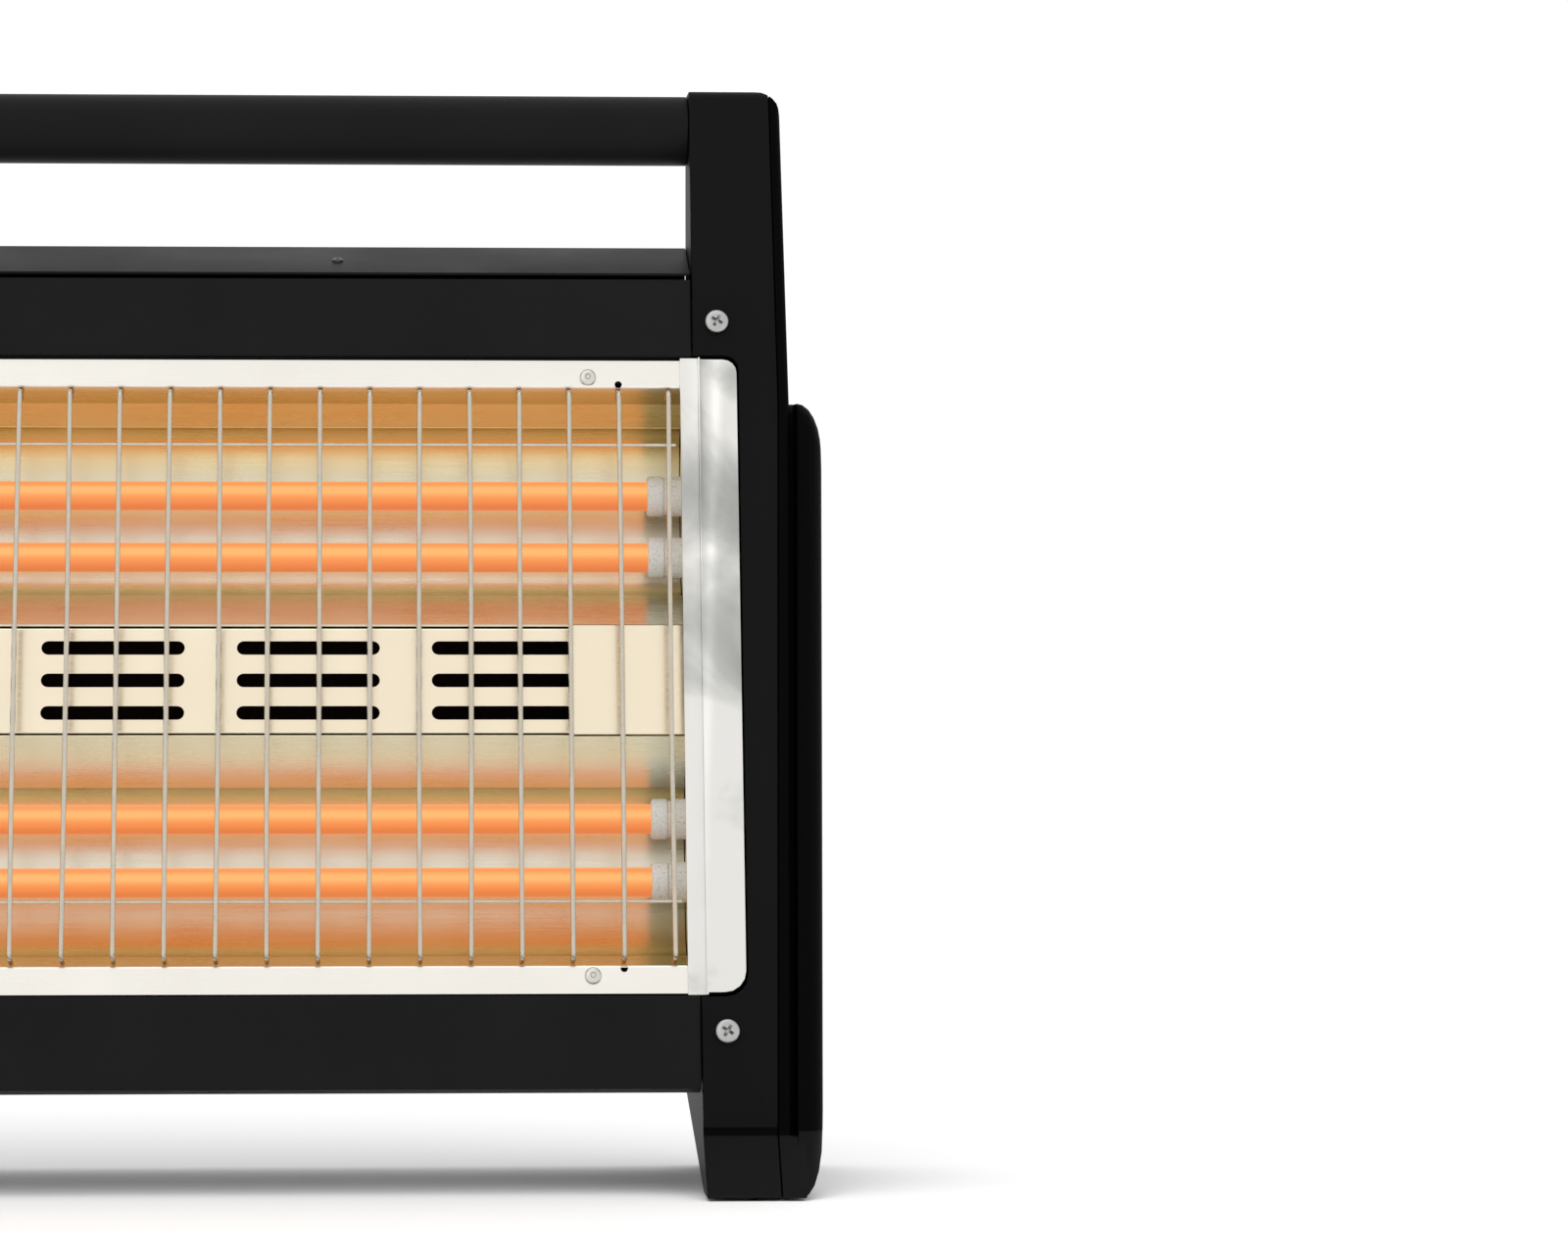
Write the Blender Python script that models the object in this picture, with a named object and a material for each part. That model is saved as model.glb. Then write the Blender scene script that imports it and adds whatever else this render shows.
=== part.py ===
"""A portable quartz heater: four glowing tubes in a leaning aluminium reflector behind a wire
guard, a black sheet-steel case between two moulded side panels, and a carry tube on top.

Metres, +Z up. X runs along the tubes, the front faces -Y, and the origin is on the floor under
the middle of the heater.
"""
import math

import bmesh
import bpy
from mathutils import Matrix, Vector

MM = 0.001
GAP = 0.3 * MM                      # between pieces that touch

# Whole heater
HEIGHT = 397 * MM
DEPTH = 140 * MM
INNER_WIDTH = 558 * MM              # clear width between the two side panels

# Side panels: trays that open outwards, each closed by a bulged cover
PANEL_WIDTH = 30.8 * MM
PANEL_WALL = 2.5 * MM
TOP_CORNER_RADIUS = 9 * MM
TOE_HEIGHT = 22 * MM
TOE_REACH = 24 * MM
TOE_FLAT = 22 * MM
TOE_LIP = 2 * MM
CREASE_HEIGHT = 4.5 * MM            # a hollow crease where the front meets the toe
CREASE_DEPTH = 1.4 * MM
TAIL_RISE = 28 * MM                 # the panel's lower edge climbs this much towards the back
HEEL_LENGTH = 26 * MM
HEEL_INSET = 10 * MM
HEEL_SLOPE = 6 * MM
ARCH_HEIGHT = 17 * MM
RIM_TAPER = 5 * MM                  # how much the panel narrows from the bulge's top to the floor
TOP_TAPER = 1.5 * MM                # and how much from there up to its own top
COVER_PLATE = 4.2 * MM
COVER_WALL = 2.2 * MM
GROOVE_WIDTH = 2.5 * MM
GROOVE_DEPTH = 9 * MM
BULGE_REACH = 9.8 * MM
BULGE_TOP_DROP = 116 * MM           # from the panel's top down to the bulge
BULGE_ROUND_TOP = 17 * MM
BULGE_ROUND_FRONT = 8 * MM
BULGE_ROUND_BOTTOM = 28 * MM
BULGE_ROOT_STEP = 0.4 * MM          # draft of the groove's outer wall
CORNER_ROUND = 4 * MM               # corners of the panels seen from the side
BULGE_CORNER_ROUND = 10 * MM
FOOT_PROUD = 1 * MM
FOOT_RADIUS = 5.5 * MM
FOOT_STEM_RADIUS = 2.5 * MM
FOOT_BARB = 1.2 * MM                # the stem above the panel's floor
FOOT_TIP = 2 * MM
FOOT_SETBACK = 14 * MM

# Carry tube
HANDLE_DIAMETER = 25.5 * MM
HANDLE_WALL = 1.2 * MM
HANDLE_MARGIN = 0.4 * MM
HANDLE_DROP = 14 * MM
HANDLE_PLUG = 16 * MM
HANDLE_SCREW_GRIP = 11 * MM         # of the screw in the plug
FINGER_GAP = 28.7 * MM

# Case between the panels
SHEET = 1 * MM
SHOULDER_RISE = 13 * MM
SEAM_GAP = 2.3 * MM
TOP_RAIL_HEIGHT = 28.5 * MM
BOTTOM_RAIL_HEIGHT = 32.2 * MM
CASE_BOTTOM = 36.9 * MM
CASE_BACK_INSET = 2 * MM
RAIL_FACE = 0.5 * MM                # depth of the rails' faces behind the panels' leaning front
RAIL_RETURN = 9 * MM
RAIL_LIP = 9.5 * MM
TAB_ROOT = 6 * MM                   # of the tab behind the rail's face
TAB_OVERLAP = 0.2 * MM
TAB_REACH = 15 * MM
TAB_HALF = 8 * MM
REAR_SLOT_MARGIN = 62 * MM          # from the back's lower and upper edges to its slot groups
SHOULDER_SETBACK = 1.5 * MM         # of the shoulder's front edge behind the panels' front
FLOOR_SETBACK = 4 * MM              # of the floor's front edge behind the rail's return

# Reflector, in leaning coordinates: u runs up the front, w runs inwards from it
FOIL = 0.8 * MM
STRIP_DEPTH = 2.2 * MM
STRIP_HEIGHT = 10.3 * MM
WIRE_HOLE_INSET = 1.3 * MM          # holes for the guard's wires, from the opening's edge
WIRE_HOLE_RADIUS = 1.3 * MM
TROUGH_MARGIN = 7 * MM              # air between the troughs and the heat shield
TROUGH_WALL = 17 * MM
WALL_DRAFT = 1.7 * MM               # the troughs' outer walls close in by this much
TROUGH_FLARE = 6 * MM
TROUGH_KNEE = 27 * MM
OUTER_BEND_STEPS = 4
INNER_BEND_STEPS = 3
LAND_HALF = 20.7 * MM
LAND_DEPTH = 14 * MM
RAMP_RUN = 15.2 * MM                # the slope from the land down into each trough
RAMP_FALL = 16 * MM
SHIELD_SETBACK = 8.5 * MM
SHIELD_LOW = 24 * MM
SHIELD_HIGH = 18 * MM
SHIELD_LIP = 4 * MM
SLOT_LENGTH = 51.2 * MM
SLOT_HEIGHT = 4.9 * MM
SLOT_ROW_PITCH = 12 * MM
SLOT_GROUP_PITCH = 70 * MM
LAP_LENGTH = 41.8 * MM
VENT_LIP = 9 * MM
CHEEK_DEEPER = 2.5 * MM             # than the troughs
CHEEK_CORNER = 4 * MM
CHEEK_SIDE = 3 * MM                 # of the cheek's side beyond the troughs' outer walls
LAP_MARGIN = 0.5 * MM

# End brackets
BRACKET_OVERLAP = 4.6 * MM          # inwards of the panel's inner face
BRACKET_LIP = 6.5 * MM
BRACKET_WIDTH = 20.6 * MM
BRACKET_TOP_RADIUS = 5 * MM
BRACKET_BOTTOM_RADIUS = 7.7 * MM
BRACKET_RETURN = 8 * MM
BRACKET_RETURN_INSET = 2 * MM       # from the plate's outer edge
BRACKET_RETURN_END = 12 * MM
BRACKET_BACK_OFF = 5 * MM           # of the tool that trims the plate at its fold
BRACKET_LIP_EXTRA = 0.8 * MM        # the lip runs past the plate by this much at each end
NOTCH_GAP = 0.6 * MM

# Tubes
TUBE_RADIUS = 5.35 * MM
TUBE_BORE = 4.3 * MM
TUBE_PITCH = 23.2 * MM
TUBE_DEPTH = 25 * MM
TUBE_SHIFT = 3.2 * MM               # each pair sits this much nearer the middle than its trough
COIL_RADIUS = 3 * MM
PIN_RADIUS = 1.5 * MM
CAP_RADIUS = 7.3 * MM
CAP_NECK_RADIUS = 5.9 * MM
CAP_NOSE = 13 * MM
CAP_TAIL = 10.5 * MM
CAP_SOCKET = 8 * MM
CAP_CHAMFER = 1.5 * MM
CAP_WINDOW_MARGIN = 1.5 * MM        # of the panels' windows round each pair of caps
COIL_INSET = 6 * MM                 # of the coil's ends inside the tube
PIN_REACH = 4.5 * MM

# Wire guard
WIRE_PITCH = 18 * MM
WIRE_RADIUS = 0.9 * MM
CROSS_WIRE_RADIUS = 0.6 * MM
CROSS_WIRE_END = 2.5 * MM
GUARD_PROUD = 1.6 * MM
GUARD_HOOK = 9 * MM
CROSS_WIRE_INSET = 21.9 * MM        # from the opening's edges

# Controls and fixings
KNOB_RADIUS = 17 * MM
KNOB_HEIGHT = 9 * MM
KNOB_RECESS = 9.6 * MM
KNOB_SKIRT = 4 * MM
KNOB_GRIP = 3.4 * MM                # half the grip bar's thickness
KNOB_DROP = 207 * MM                # from the panel's top
SHAFT_RADIUS = 3 * MM
SWITCH_SIZE = 30 * MM
SWITCH_DEPTH = 16 * MM
LAMP_RADIUS = 4.5 * MM
LAMP_RISE = 36 * MM                 # above the knob
LAMP_SEAT = 1 * MM
SCREW_HEAD_RADIUS = 4.3 * MM
SCREW_RADIUS = 2 * MM
SCREW_INSET = 9 * MM                # outwards of the panel's inner face
SCREW_OFFSET = 13 * MM              # beyond the rails' near edges
SCREW_LENGTH = 9 * MM
SCREW_POINT = 1.5 * MM
SCREW_HEAD_HEIGHT = 2.2 * MM
RIVET_HEAD_RADIUS = 3 * MM
RIVET_RADIUS = 1.6 * MM
RIVET_SHANK = 5 * MM
RIVET_HEAD_HEIGHT = 1.1 * MM
RIVET_INSET = 38 * MM
RIVET_DROP = 6.4 * MM               # from the strip's outer edge
PLUNGER_RADIUS = 2.5 * MM
PLUNGER_FOOT = 4.5 * MM
PLUNGER_BACK = 42 * MM              # behind the toe's tip
PLUNGER_RISE = 7 * MM               # of its shoulder above the panel's floor
PLUNGER_TIP_RADIUS = 1.6 * MM
PLUNGER_TIP = 12 * MM
TIP_SWITCH_LIFT = 1.5 * MM          # of the switch above the plunger's shoulder
TIP_SWITCH_FRONT = 7 * MM
TIP_SWITCH_BACK = 11 * MM
TIP_SWITCH_SIDE = 9 * MM
TIP_SWITCH_HEIGHT = 22 * MM
LEAD_RADIUS = 1.4 * MM
LEAD_DROP = 16 * MM                 # of the loom's last bend above the terminal block
STRAP_HALF = 4 * MM
STRAP_END = 5 * MM                  # of the bus bar past its outer pins
GLAND_RADIUS = 6 * MM
GLAND_BORE = 3.6 * MM
GLAND_FLANGE = 8 * MM
GLAND_TAIL = 7 * MM
GLAND_HEAD = 4 * MM                 # inside the panel's floor
GLAND_SETBACK = 22 * MM             # in front of the heel
CUTOUT_RADIUS = 8 * MM
BLOCK_DEPTH = 11 * MM
BLOCK_LENGTH = 28 * MM
BLOCK_HEIGHT = 24 * MM
BLOCK_RISE = 35 * MM                # above the case's bottom
BLOCK_BACK = 6 * MM

# Worked out from the sizes above
REAR_Y = DEPTH / 2
TOE_Y = -DEPTH / 2
INNER_X = INNER_WIDTH / 2
RIM_X = INNER_X + PANEL_WIDTH
PLATE_X = RIM_X + COVER_PLATE
TOP_X = PLATE_X - TOP_TAPER
BULGE_TOP = HEIGHT - BULGE_TOP_DROP
HANDLE_Z = HEIGHT - HANDLE_DROP
HEAD_DEPTH = HANDLE_DIAMETER + 2 * HANDLE_MARGIN
HANDLE_Y = REAR_Y - HEAD_DEPTH / 2
LEAN = (DEPTH - TOE_REACH - HEAD_DEPTH) / (HANDLE_Z - TOE_HEIGHT)
LEAN_ANGLE = math.atan(LEAN)
UP, IN = math.cos(LEAN_ANGLE), math.sin(LEAN_ANGLE)
CASE_TOP = HANDLE_Z - HANDLE_DIAMETER / 2 - FINGER_GAP
KNOB_Z = HEIGHT - KNOB_DROP
LAMP_Z = KNOB_Z + LAMP_RISE
SEAM_Z = CASE_TOP - SHOULDER_RISE
CASE_BACK = REAR_Y - CASE_BACK_INSET
CASE_X = INNER_X - GAP
TOP_RAIL_TOP = SEAM_Z - SEAM_GAP
TOP_RAIL_LOW = TOP_RAIL_TOP - TOP_RAIL_HEIGHT
BOTTOM_RAIL_TOP = CASE_BOTTOM + BOTTOM_RAIL_HEIGHT
FACE_Z = (TOP_RAIL_LOW + BOTTOM_RAIL_TOP) / 2
FACE_HALF = (TOP_RAIL_LOW - BOTTOM_RAIL_TOP) / 2 / UP
STRIP_OUTER = FACE_HALF - 1.1 * MM
OPENING_HALF = STRIP_OUTER - STRIP_HEIGHT
CHEEK_X = INNER_X - 2.2 * MM - FOIL
TROUGH_X = CHEEK_X - GAP
PAIR_CENTRE = (OPENING_HALF + LAND_HALF) / 2 - TUBE_SHIFT
CAP_END_X = CHEEK_X + CAP_TAIL
PIN_END_X = CAP_END_X + PIN_REACH
GLOW_END_X = CHEEK_X - CAP_NOSE + CAP_SOCKET
SHIELD_Y = CASE_BACK - SHIELD_SETBACK


def front_y(z):
    """Where the panels' leaning front is at height z."""
    return REAR_Y - HEAD_DEPTH - LEAN * (HANDLE_Z - z)


def lean(u, w):
    """(y, z) of the point u up the leaning front from its middle, and w inwards."""
    return (front_y(FACE_Z) + IN * u + UP * w, FACE_Z + UP * u - IN * w)


def lean_u(z, w=0.0):
    """The u of a point at height z and depth w."""
    return (z - FACE_Z + IN * w) / UP


def plate_x(z):
    """The outer face of the cover's plate at height z."""
    if z > BULGE_TOP:
        return PLATE_X - TOP_TAPER * (z - BULGE_TOP) / (HEIGHT - BULGE_TOP)
    return PLATE_X - RIM_TAPER * (BULGE_TOP - z) / BULGE_TOP


def bulge_face(z):
    """The bulge's outer face at height z."""
    return plate_x(z) + GROOVE_WIDTH + BULGE_REACH


# The troughs are as deep as the heat shield lets them be at their outer bend.
TROUGH_DEPTH = (SHIELD_Y - TROUGH_MARGIN - lean(OPENING_HALF - TROUGH_KNEE, 0)[0]) / UP
KNOB_Y = (front_y(KNOB_Z) + REAR_Y) / 2
KNOB_SEAT = bulge_face(KNOB_Z) - KNOB_RECESS

for item in list(bpy.data.objects):
    bpy.data.objects.remove(item, do_unlink=True)


def material(name, colour, roughness, metallic=0.0):
    made = bpy.data.materials.new(name)
    made.use_nodes = True
    shader = made.node_tree.nodes["Principled BSDF"]
    shader.inputs["Base Color"].default_value = (*colour, 1.0)
    shader.inputs["Roughness"].default_value = roughness
    shader.inputs["Metallic"].default_value = metallic
    made.diffuse_color = (*colour, 1.0)
    return made


BLACK_MOULDING = material("black moulding", (0.010, 0.010, 0.011), 0.45)
BLACK_STEEL = material("black painted steel", (0.014, 0.014, 0.014), 0.35)
ALUMINIUM = material("aluminium sheet", (0.80, 0.79, 0.76), 0.30, 1.0)
STEEL = material("zinc plated steel", (0.62, 0.61, 0.58), 0.35, 1.0)
QUARTZ = material("quartz glass", (1.00, 0.42, 0.16), 0.20)
COIL = material("resistance wire", (0.90, 0.25, 0.05), 0.50, 1.0)
CERAMIC = material("steatite ceramic", (0.80, 0.79, 0.74), 0.60)
RUBBER = material("black rubber", (0.012, 0.012, 0.012), 0.80)
SWITCH_PLASTIC = material("switch plastic", (0.06, 0.06, 0.06), 0.50)
LAMP_LENS = material("amber lens", (0.80, 0.20, 0.02), 0.15)


# ---- Making solids ----

def solid(name, rings, surface, closed=False):
    """A skin over rings of equal length, with flat ends, or joined end to end when closed."""
    mesh = bmesh.new()
    loops = [[mesh.verts.new(point) for point in ring] for ring in rings]
    count = len(loops[0])
    pairs = list(zip(loops, loops[1:]))
    if closed:
        pairs.append((loops[-1], loops[0]))
    else:
        mesh.faces.new(loops[0])
        mesh.faces.new(reversed(loops[-1]))
    for one, two in pairs:
        for i in range(count):
            j = (i + 1) % count
            mesh.faces.new((one[i], two[i], two[j], one[j]))
    bmesh.ops.recalc_face_normals(mesh, faces=mesh.faces)
    if mesh.calc_volume(signed=True) < 0:
        bmesh.ops.reverse_faces(mesh, faces=mesh.faces)
    data = bpy.data.meshes.new(name)
    mesh.to_mesh(data)
    mesh.free()
    if surface:
        data.materials.append(surface)
    made = bpy.data.objects.new(name, data)
    bpy.context.scene.collection.objects.link(made)
    return made


def round_shading(obj):
    obj.data.shade_smooth()
    obj.data.set_sharp_from_angle(angle=math.radians(35))
    return obj


def joined_mesh(name, pieces):
    """One hidden cutter that holds several separate bodies."""
    mesh = bmesh.new()
    for piece in pieces:
        mesh.from_mesh(piece.data)
        bpy.data.objects.remove(piece, do_unlink=True)
    data = bpy.data.meshes.new(name)
    mesh.to_mesh(data)
    mesh.free()
    made = bpy.data.objects.new(name, data)
    bpy.context.scene.collection.objects.link(made)
    return made


def combine(target, tool, operation):
    tool.hide_render = True
    tool.display_type = "WIRE"
    modifier = target.modifiers.new(f"{operation.lower()} {tool.name}", "BOOLEAN")
    modifier.solver = "EXACT"
    modifier.operation = operation
    modifier.object = tool
    return target


def cut(target, tool):
    return combine(target, tool, "DIFFERENCE")


def add(target, tool):
    return combine(target, tool, "UNION")


def along_x(name, outline, x0, x1, surface=None):
    """A (y, z) outline swept from x0 to x1."""
    return solid(name, [[(x, y, z) for y, z in outline] for x in (x0, x1)], surface)


def along_y(name, outline, y0, y1, surface=None):
    """An (x, z) outline swept from y0 to y1."""
    return solid(name, [[(x, y, z) for x, z in outline] for y in (y0, y1)], surface)


def along_w(name, outline, w0, w1, surface=None):
    """An (x, u) outline swept from depth w0 to w1, square to the leaning front."""
    return solid(name, [[(x, *lean(u, w)) for x, u in outline] for w in (w0, w1)], surface)


def block(name, low, high, surface=None):
    """A box between two corners."""
    (x0, y0, z0), (x1, y1, z1) = low, high
    return along_x(name, [(y0, z0), (y1, z0), (y1, z1), (y0, z1)], x0, x1, surface)


def rounded(corners, steps=3):
    """An outline from (point, radius) corners; a corner with a radius becomes an arc."""
    made = []
    for i, (here, radius) in enumerate(corners):
        if radius <= 0:
            made.append(here)
            continue
        here = Vector(here)
        one = (Vector(corners[i - 1][0]) - here).normalized()
        two = (Vector(corners[(i + 1) % len(corners)][0]) - here).normalized()
        half = one.angle(two) / 2
        centre = here + (one + two).normalized() * radius / math.sin(half)
        first = here + one * radius / math.tan(half) - centre
        last = here + two * radius / math.tan(half) - centre
        start = math.atan2(first.y, first.x)
        turn = (math.atan2(last.y, last.x) - start + math.pi) % (2 * math.pi) - math.pi
        for k in range(steps + 1):
            angle = start + turn * k / steps
            made.append((centre.x + radius * math.cos(angle), centre.y + radius * math.sin(angle)))
    return made


def arc(centre, radius, start, end, steps):
    """Points along an arc, with its angles in degrees."""
    angles = [math.radians(start + (end - start) * i / steps) for i in range(steps + 1)]
    return [(centre[0] + radius * math.cos(a), centre[1] + radius * math.sin(a)) for a in angles]


def moved_edges(outline, inset):
    """The outline with every side moved inwards; outlines run anticlockwise."""
    made = []
    for i, here in enumerate(outline):
        before = Vector(outline[i - 1])
        here = Vector(here)
        after = Vector(outline[(i + 1) % len(outline)])
        one = (here - before).normalized()
        two = (after - here).normalized()
        side_one, side_two = Vector((-one.y, one.x)), Vector((-two.y, two.x))
        middle = (side_one + side_two).normalized()
        made.append(tuple(here + middle * inset / middle.dot(side_one)))
    return made


def sheet_outline(path, thickness):
    """The closed outline of a bent sheet whose one face follows path; the sheet lies on its left."""
    far = []
    for i, here in enumerate(path):
        here = Vector(here)
        one = (here - Vector(path[i - 1])).normalized() if i else None
        two = (Vector(path[i + 1]) - here).normalized() if i + 1 < len(path) else None
        one, two = one or two, two or one
        side_one, side_two = Vector((-one.y, one.x)), Vector((-two.y, two.x))
        middle = (side_one + side_two).normalized()
        far.append(tuple(here + middle * thickness / middle.dot(side_one)))
    return list(path) + far[::-1]


def turned(name, profile, sides, surface=None, closed=False):
    """A solid of revolution about local Z, from (radius, height) points; solid ends when open."""
    angles = [2 * math.pi * i / sides for i in range(sides)]
    rings = [[(r * math.cos(a), r * math.sin(a), z) for a in angles] for r, z in profile]
    return round_shading(solid(name, rings, surface, closed))


def place(obj, location, direction=(0, 0, 1)):
    """Puts a turned piece at location, with its local Z along direction."""
    obj.matrix_world = (
        Matrix.Translation(location)
        @ Vector(direction).to_track_quat("Z", "Y").to_matrix().to_4x4()
    )
    return obj


def drill(name, location, direction, radius, reach, sides=16):
    """A cylindrical cutter that runs reach each way from location."""
    return place(turned(name, [(radius, -reach), (radius, reach)], sides), location, direction)


def swept(name, path, radius, sides, surface=None):
    """A round wire along path, with mitred bends."""
    points = [Vector(p) for p in path]
    rings = []
    side = None
    for i, here in enumerate(points):
        one = (here - points[i - 1]).normalized() if i else None
        two = (points[i + 1] - here).normalized() if i + 1 < len(points) else None
        one, two = one or two, two or one
        tangent = (one + two).normalized()
        if side is None:
            side = one.orthogonal().normalized()
        side = (side - one * side.dot(one)).normalized()
        other = one.cross(side)
        ring = []
        for k in range(sides):
            turn = 2 * math.pi * (k + 0.5) / sides
            spoke = (side * math.cos(turn) + other * math.sin(turn)) * radius
            ring.append(here + spoke - one * spoke.dot(tangent) / one.dot(tangent))
        rings.append(ring)
    return round_shading(solid(name, rings, surface))


def box_outline(x0, x1, z0, z1):
    return [(x0, z0), (x1, z0), (x1, z1), (x0, z1)]


def slot_outline(centre, length, height, steps=4):
    """A round-ended slot lying along the first coordinate."""
    reach = (length - height) / 2
    right = arc((centre[0] + reach, centre[1]), height / 2, -90, 90, steps)
    left = arc((centre[0] - reach, centre[1]), height / 2, 90, 270, steps)
    return right + left


def mirrored(outline, side):
    """An outline in (x, ...) on the right for side 1, or its mirror image on the left for -1."""
    return [(side * x, v) for x, v in outline]


# ---- Side panels and covers ----

def panel_corners():
    """The side panel's corners seen from the side, each with its radius; the toe's tip is first."""
    tip = TOE_REACH * TOE_LIP / (TOE_HEIGHT - FOOT_PROUD)
    return [
        ((TOE_Y, FOOT_PROUD), 0),
        ((TOE_Y + TOE_FLAT, FOOT_PROUD), 0),
        ((REAR_Y, FOOT_PROUD + TAIL_RISE), CORNER_ROUND),
        ((REAR_Y, HEIGHT), CORNER_ROUND),
        ((front_y(HEIGHT), HEIGHT), CORNER_ROUND),
        ((front_y(TOE_HEIGHT + CREASE_HEIGHT), TOE_HEIGHT + CREASE_HEIGHT), 0),
        ((front_y(TOE_HEIGHT) + CREASE_DEPTH, TOE_HEIGHT + CREASE_HEIGHT / 3), 0),
        ((front_y(TOE_HEIGHT), TOE_HEIGHT - CREASE_DEPTH), 0),
        ((TOE_Y + tip, FOOT_PROUD + TOE_LIP), 0),
    ]


def panel_hollow():
    """The tray's hollow seen from the side: the panel's outline moved in by the wall."""
    outline = [
        (TOE_Y, FOOT_PROUD), (TOE_Y + TOE_FLAT, FOOT_PROUD), (REAR_Y, FOOT_PROUD + TAIL_RISE),
        (REAR_Y, HEIGHT), (front_y(HEIGHT), HEIGHT), (front_y(TOE_HEIGHT), TOE_HEIGHT),
    ]
    return moved_edges(outline, PANEL_WALL)


def heel_corner():
    return REAR_Y - HEEL_LENGTH


def corner_arc(radius, x_limit, inset=0.0, steps=6):
    """The rounded top outer corner, as (x, z) points from the top edge to x_limit."""
    centre = (TOP_X - radius - inset, HEIGHT - radius - inset)
    full = arc(centre, radius, 90, 0, steps)
    kept = [point for point in full if point[0] < x_limit - 0.1 * MM]
    if x_limit < centre[0] + radius:
        rise = math.sqrt(radius ** 2 - (x_limit - centre[0]) ** 2)
        kept.append((x_limit, centre[1] + rise))
    else:
        kept = full
    return kept


def panel_section():
    """The tray seen from the front, as (x, z)."""
    return (
        [(RIM_X - RIM_TAPER, 0), (RIM_X, BULGE_TOP)]
        + corner_arc(TOP_CORNER_RADIUS, RIM_X - TOP_TAPER)[::-1]
        + [(INNER_X, HEIGHT), (INNER_X, 0)]
    )


def cavity_section():
    """The tray's hollow seen from the front, running out past its rim."""
    radius = TOP_CORNER_RADIUS - PANEL_WALL
    top = corner_arc(radius, TOP_X - PANEL_WALL, PANEL_WALL)
    inner = INNER_X + PANEL_WALL
    past = PLATE_X + MM
    return (
        [(inner, 0), (past, 0), (past, HEIGHT - TOP_CORNER_RADIUS)]
        + top[::-1] + [(inner, HEIGHT - PANEL_WALL)]
    )


def notch_outline(top, x_outer):
    """The end bracket's outline in (x, u), for the right side, from -top to top."""
    top_radius = BRACKET_TOP_RADIUS
    low_radius = BRACKET_BOTTOM_RADIUS
    inner = INNER_X - 1 * MM
    return (
        [(inner, -top)]
        + arc((x_outer - low_radius, -top + low_radius), low_radius, -90, 0, 4)
        + arc((x_outer - top_radius, top - top_radius), top_radius, 0, 90, 4)
        + [(inner, top)]
    )


def bracket_half():
    return FACE_HALF - BRACKET_LIP_EXTRA - GAP


def bracket_outer():
    return INNER_X - BRACKET_OVERLAP + BRACKET_WIDTH


def side_panel(side, word):
    """One moulded tray with its toe, heel, bracket notch, windows and fixing holes."""
    section = mirrored(panel_section(), side)
    body = along_x(f"side_panel_{word}", rounded(panel_corners()), side * (INNER_X - 1 * MM),
                   side * (RIM_X + 1 * MM), BLACK_MOULDING)
    heel = block(
        f"heel tool {word}",
        (side * (INNER_X + HEEL_INSET), heel_corner(), FOOT_PROUD),
        (side * (RIM_X + 1 * MM), REAR_Y, FOOT_PROUD + TAIL_RISE),
    )
    add(body, heel)
    combine(body, along_y(f"tray tool {word}", section, TOE_Y - MM, REAR_Y + MM), "INTERSECT")
    hollow = along_x(f"hollow tool {word}", panel_hollow(),
                     side * INNER_X, side * (PLATE_X + 5 * MM))
    combine(hollow, along_y(f"hollow section {word}", mirrored(cavity_section(), side),
                            TOE_Y - MM, REAR_Y + MM), "INTERSECT")
    cut(body, hollow)
    heel_hollow = block(
        f"heel hollow {word}",
        (side * (INNER_X + HEEL_INSET + PANEL_WALL), heel_corner() + PANEL_WALL,
         FOOT_PROUD + PANEL_WALL),
        (side * (PLATE_X + MM), REAR_Y - PANEL_WALL, FOOT_PROUD + TAIL_RISE + 2 * PANEL_WALL),
    )
    cut(body, heel_hollow)
    notch = along_w(f"notch tool {word}",
                    mirrored(notch_outline(bracket_half() + BRACKET_LIP_EXTRA + NOTCH_GAP,
                                           bracket_outer() + NOTCH_GAP), side),
                    -2 * MM, PANEL_WALL + GAP)
    cut(body, notch)
    cut(body, panel_openings(side, word))
    return body


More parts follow.
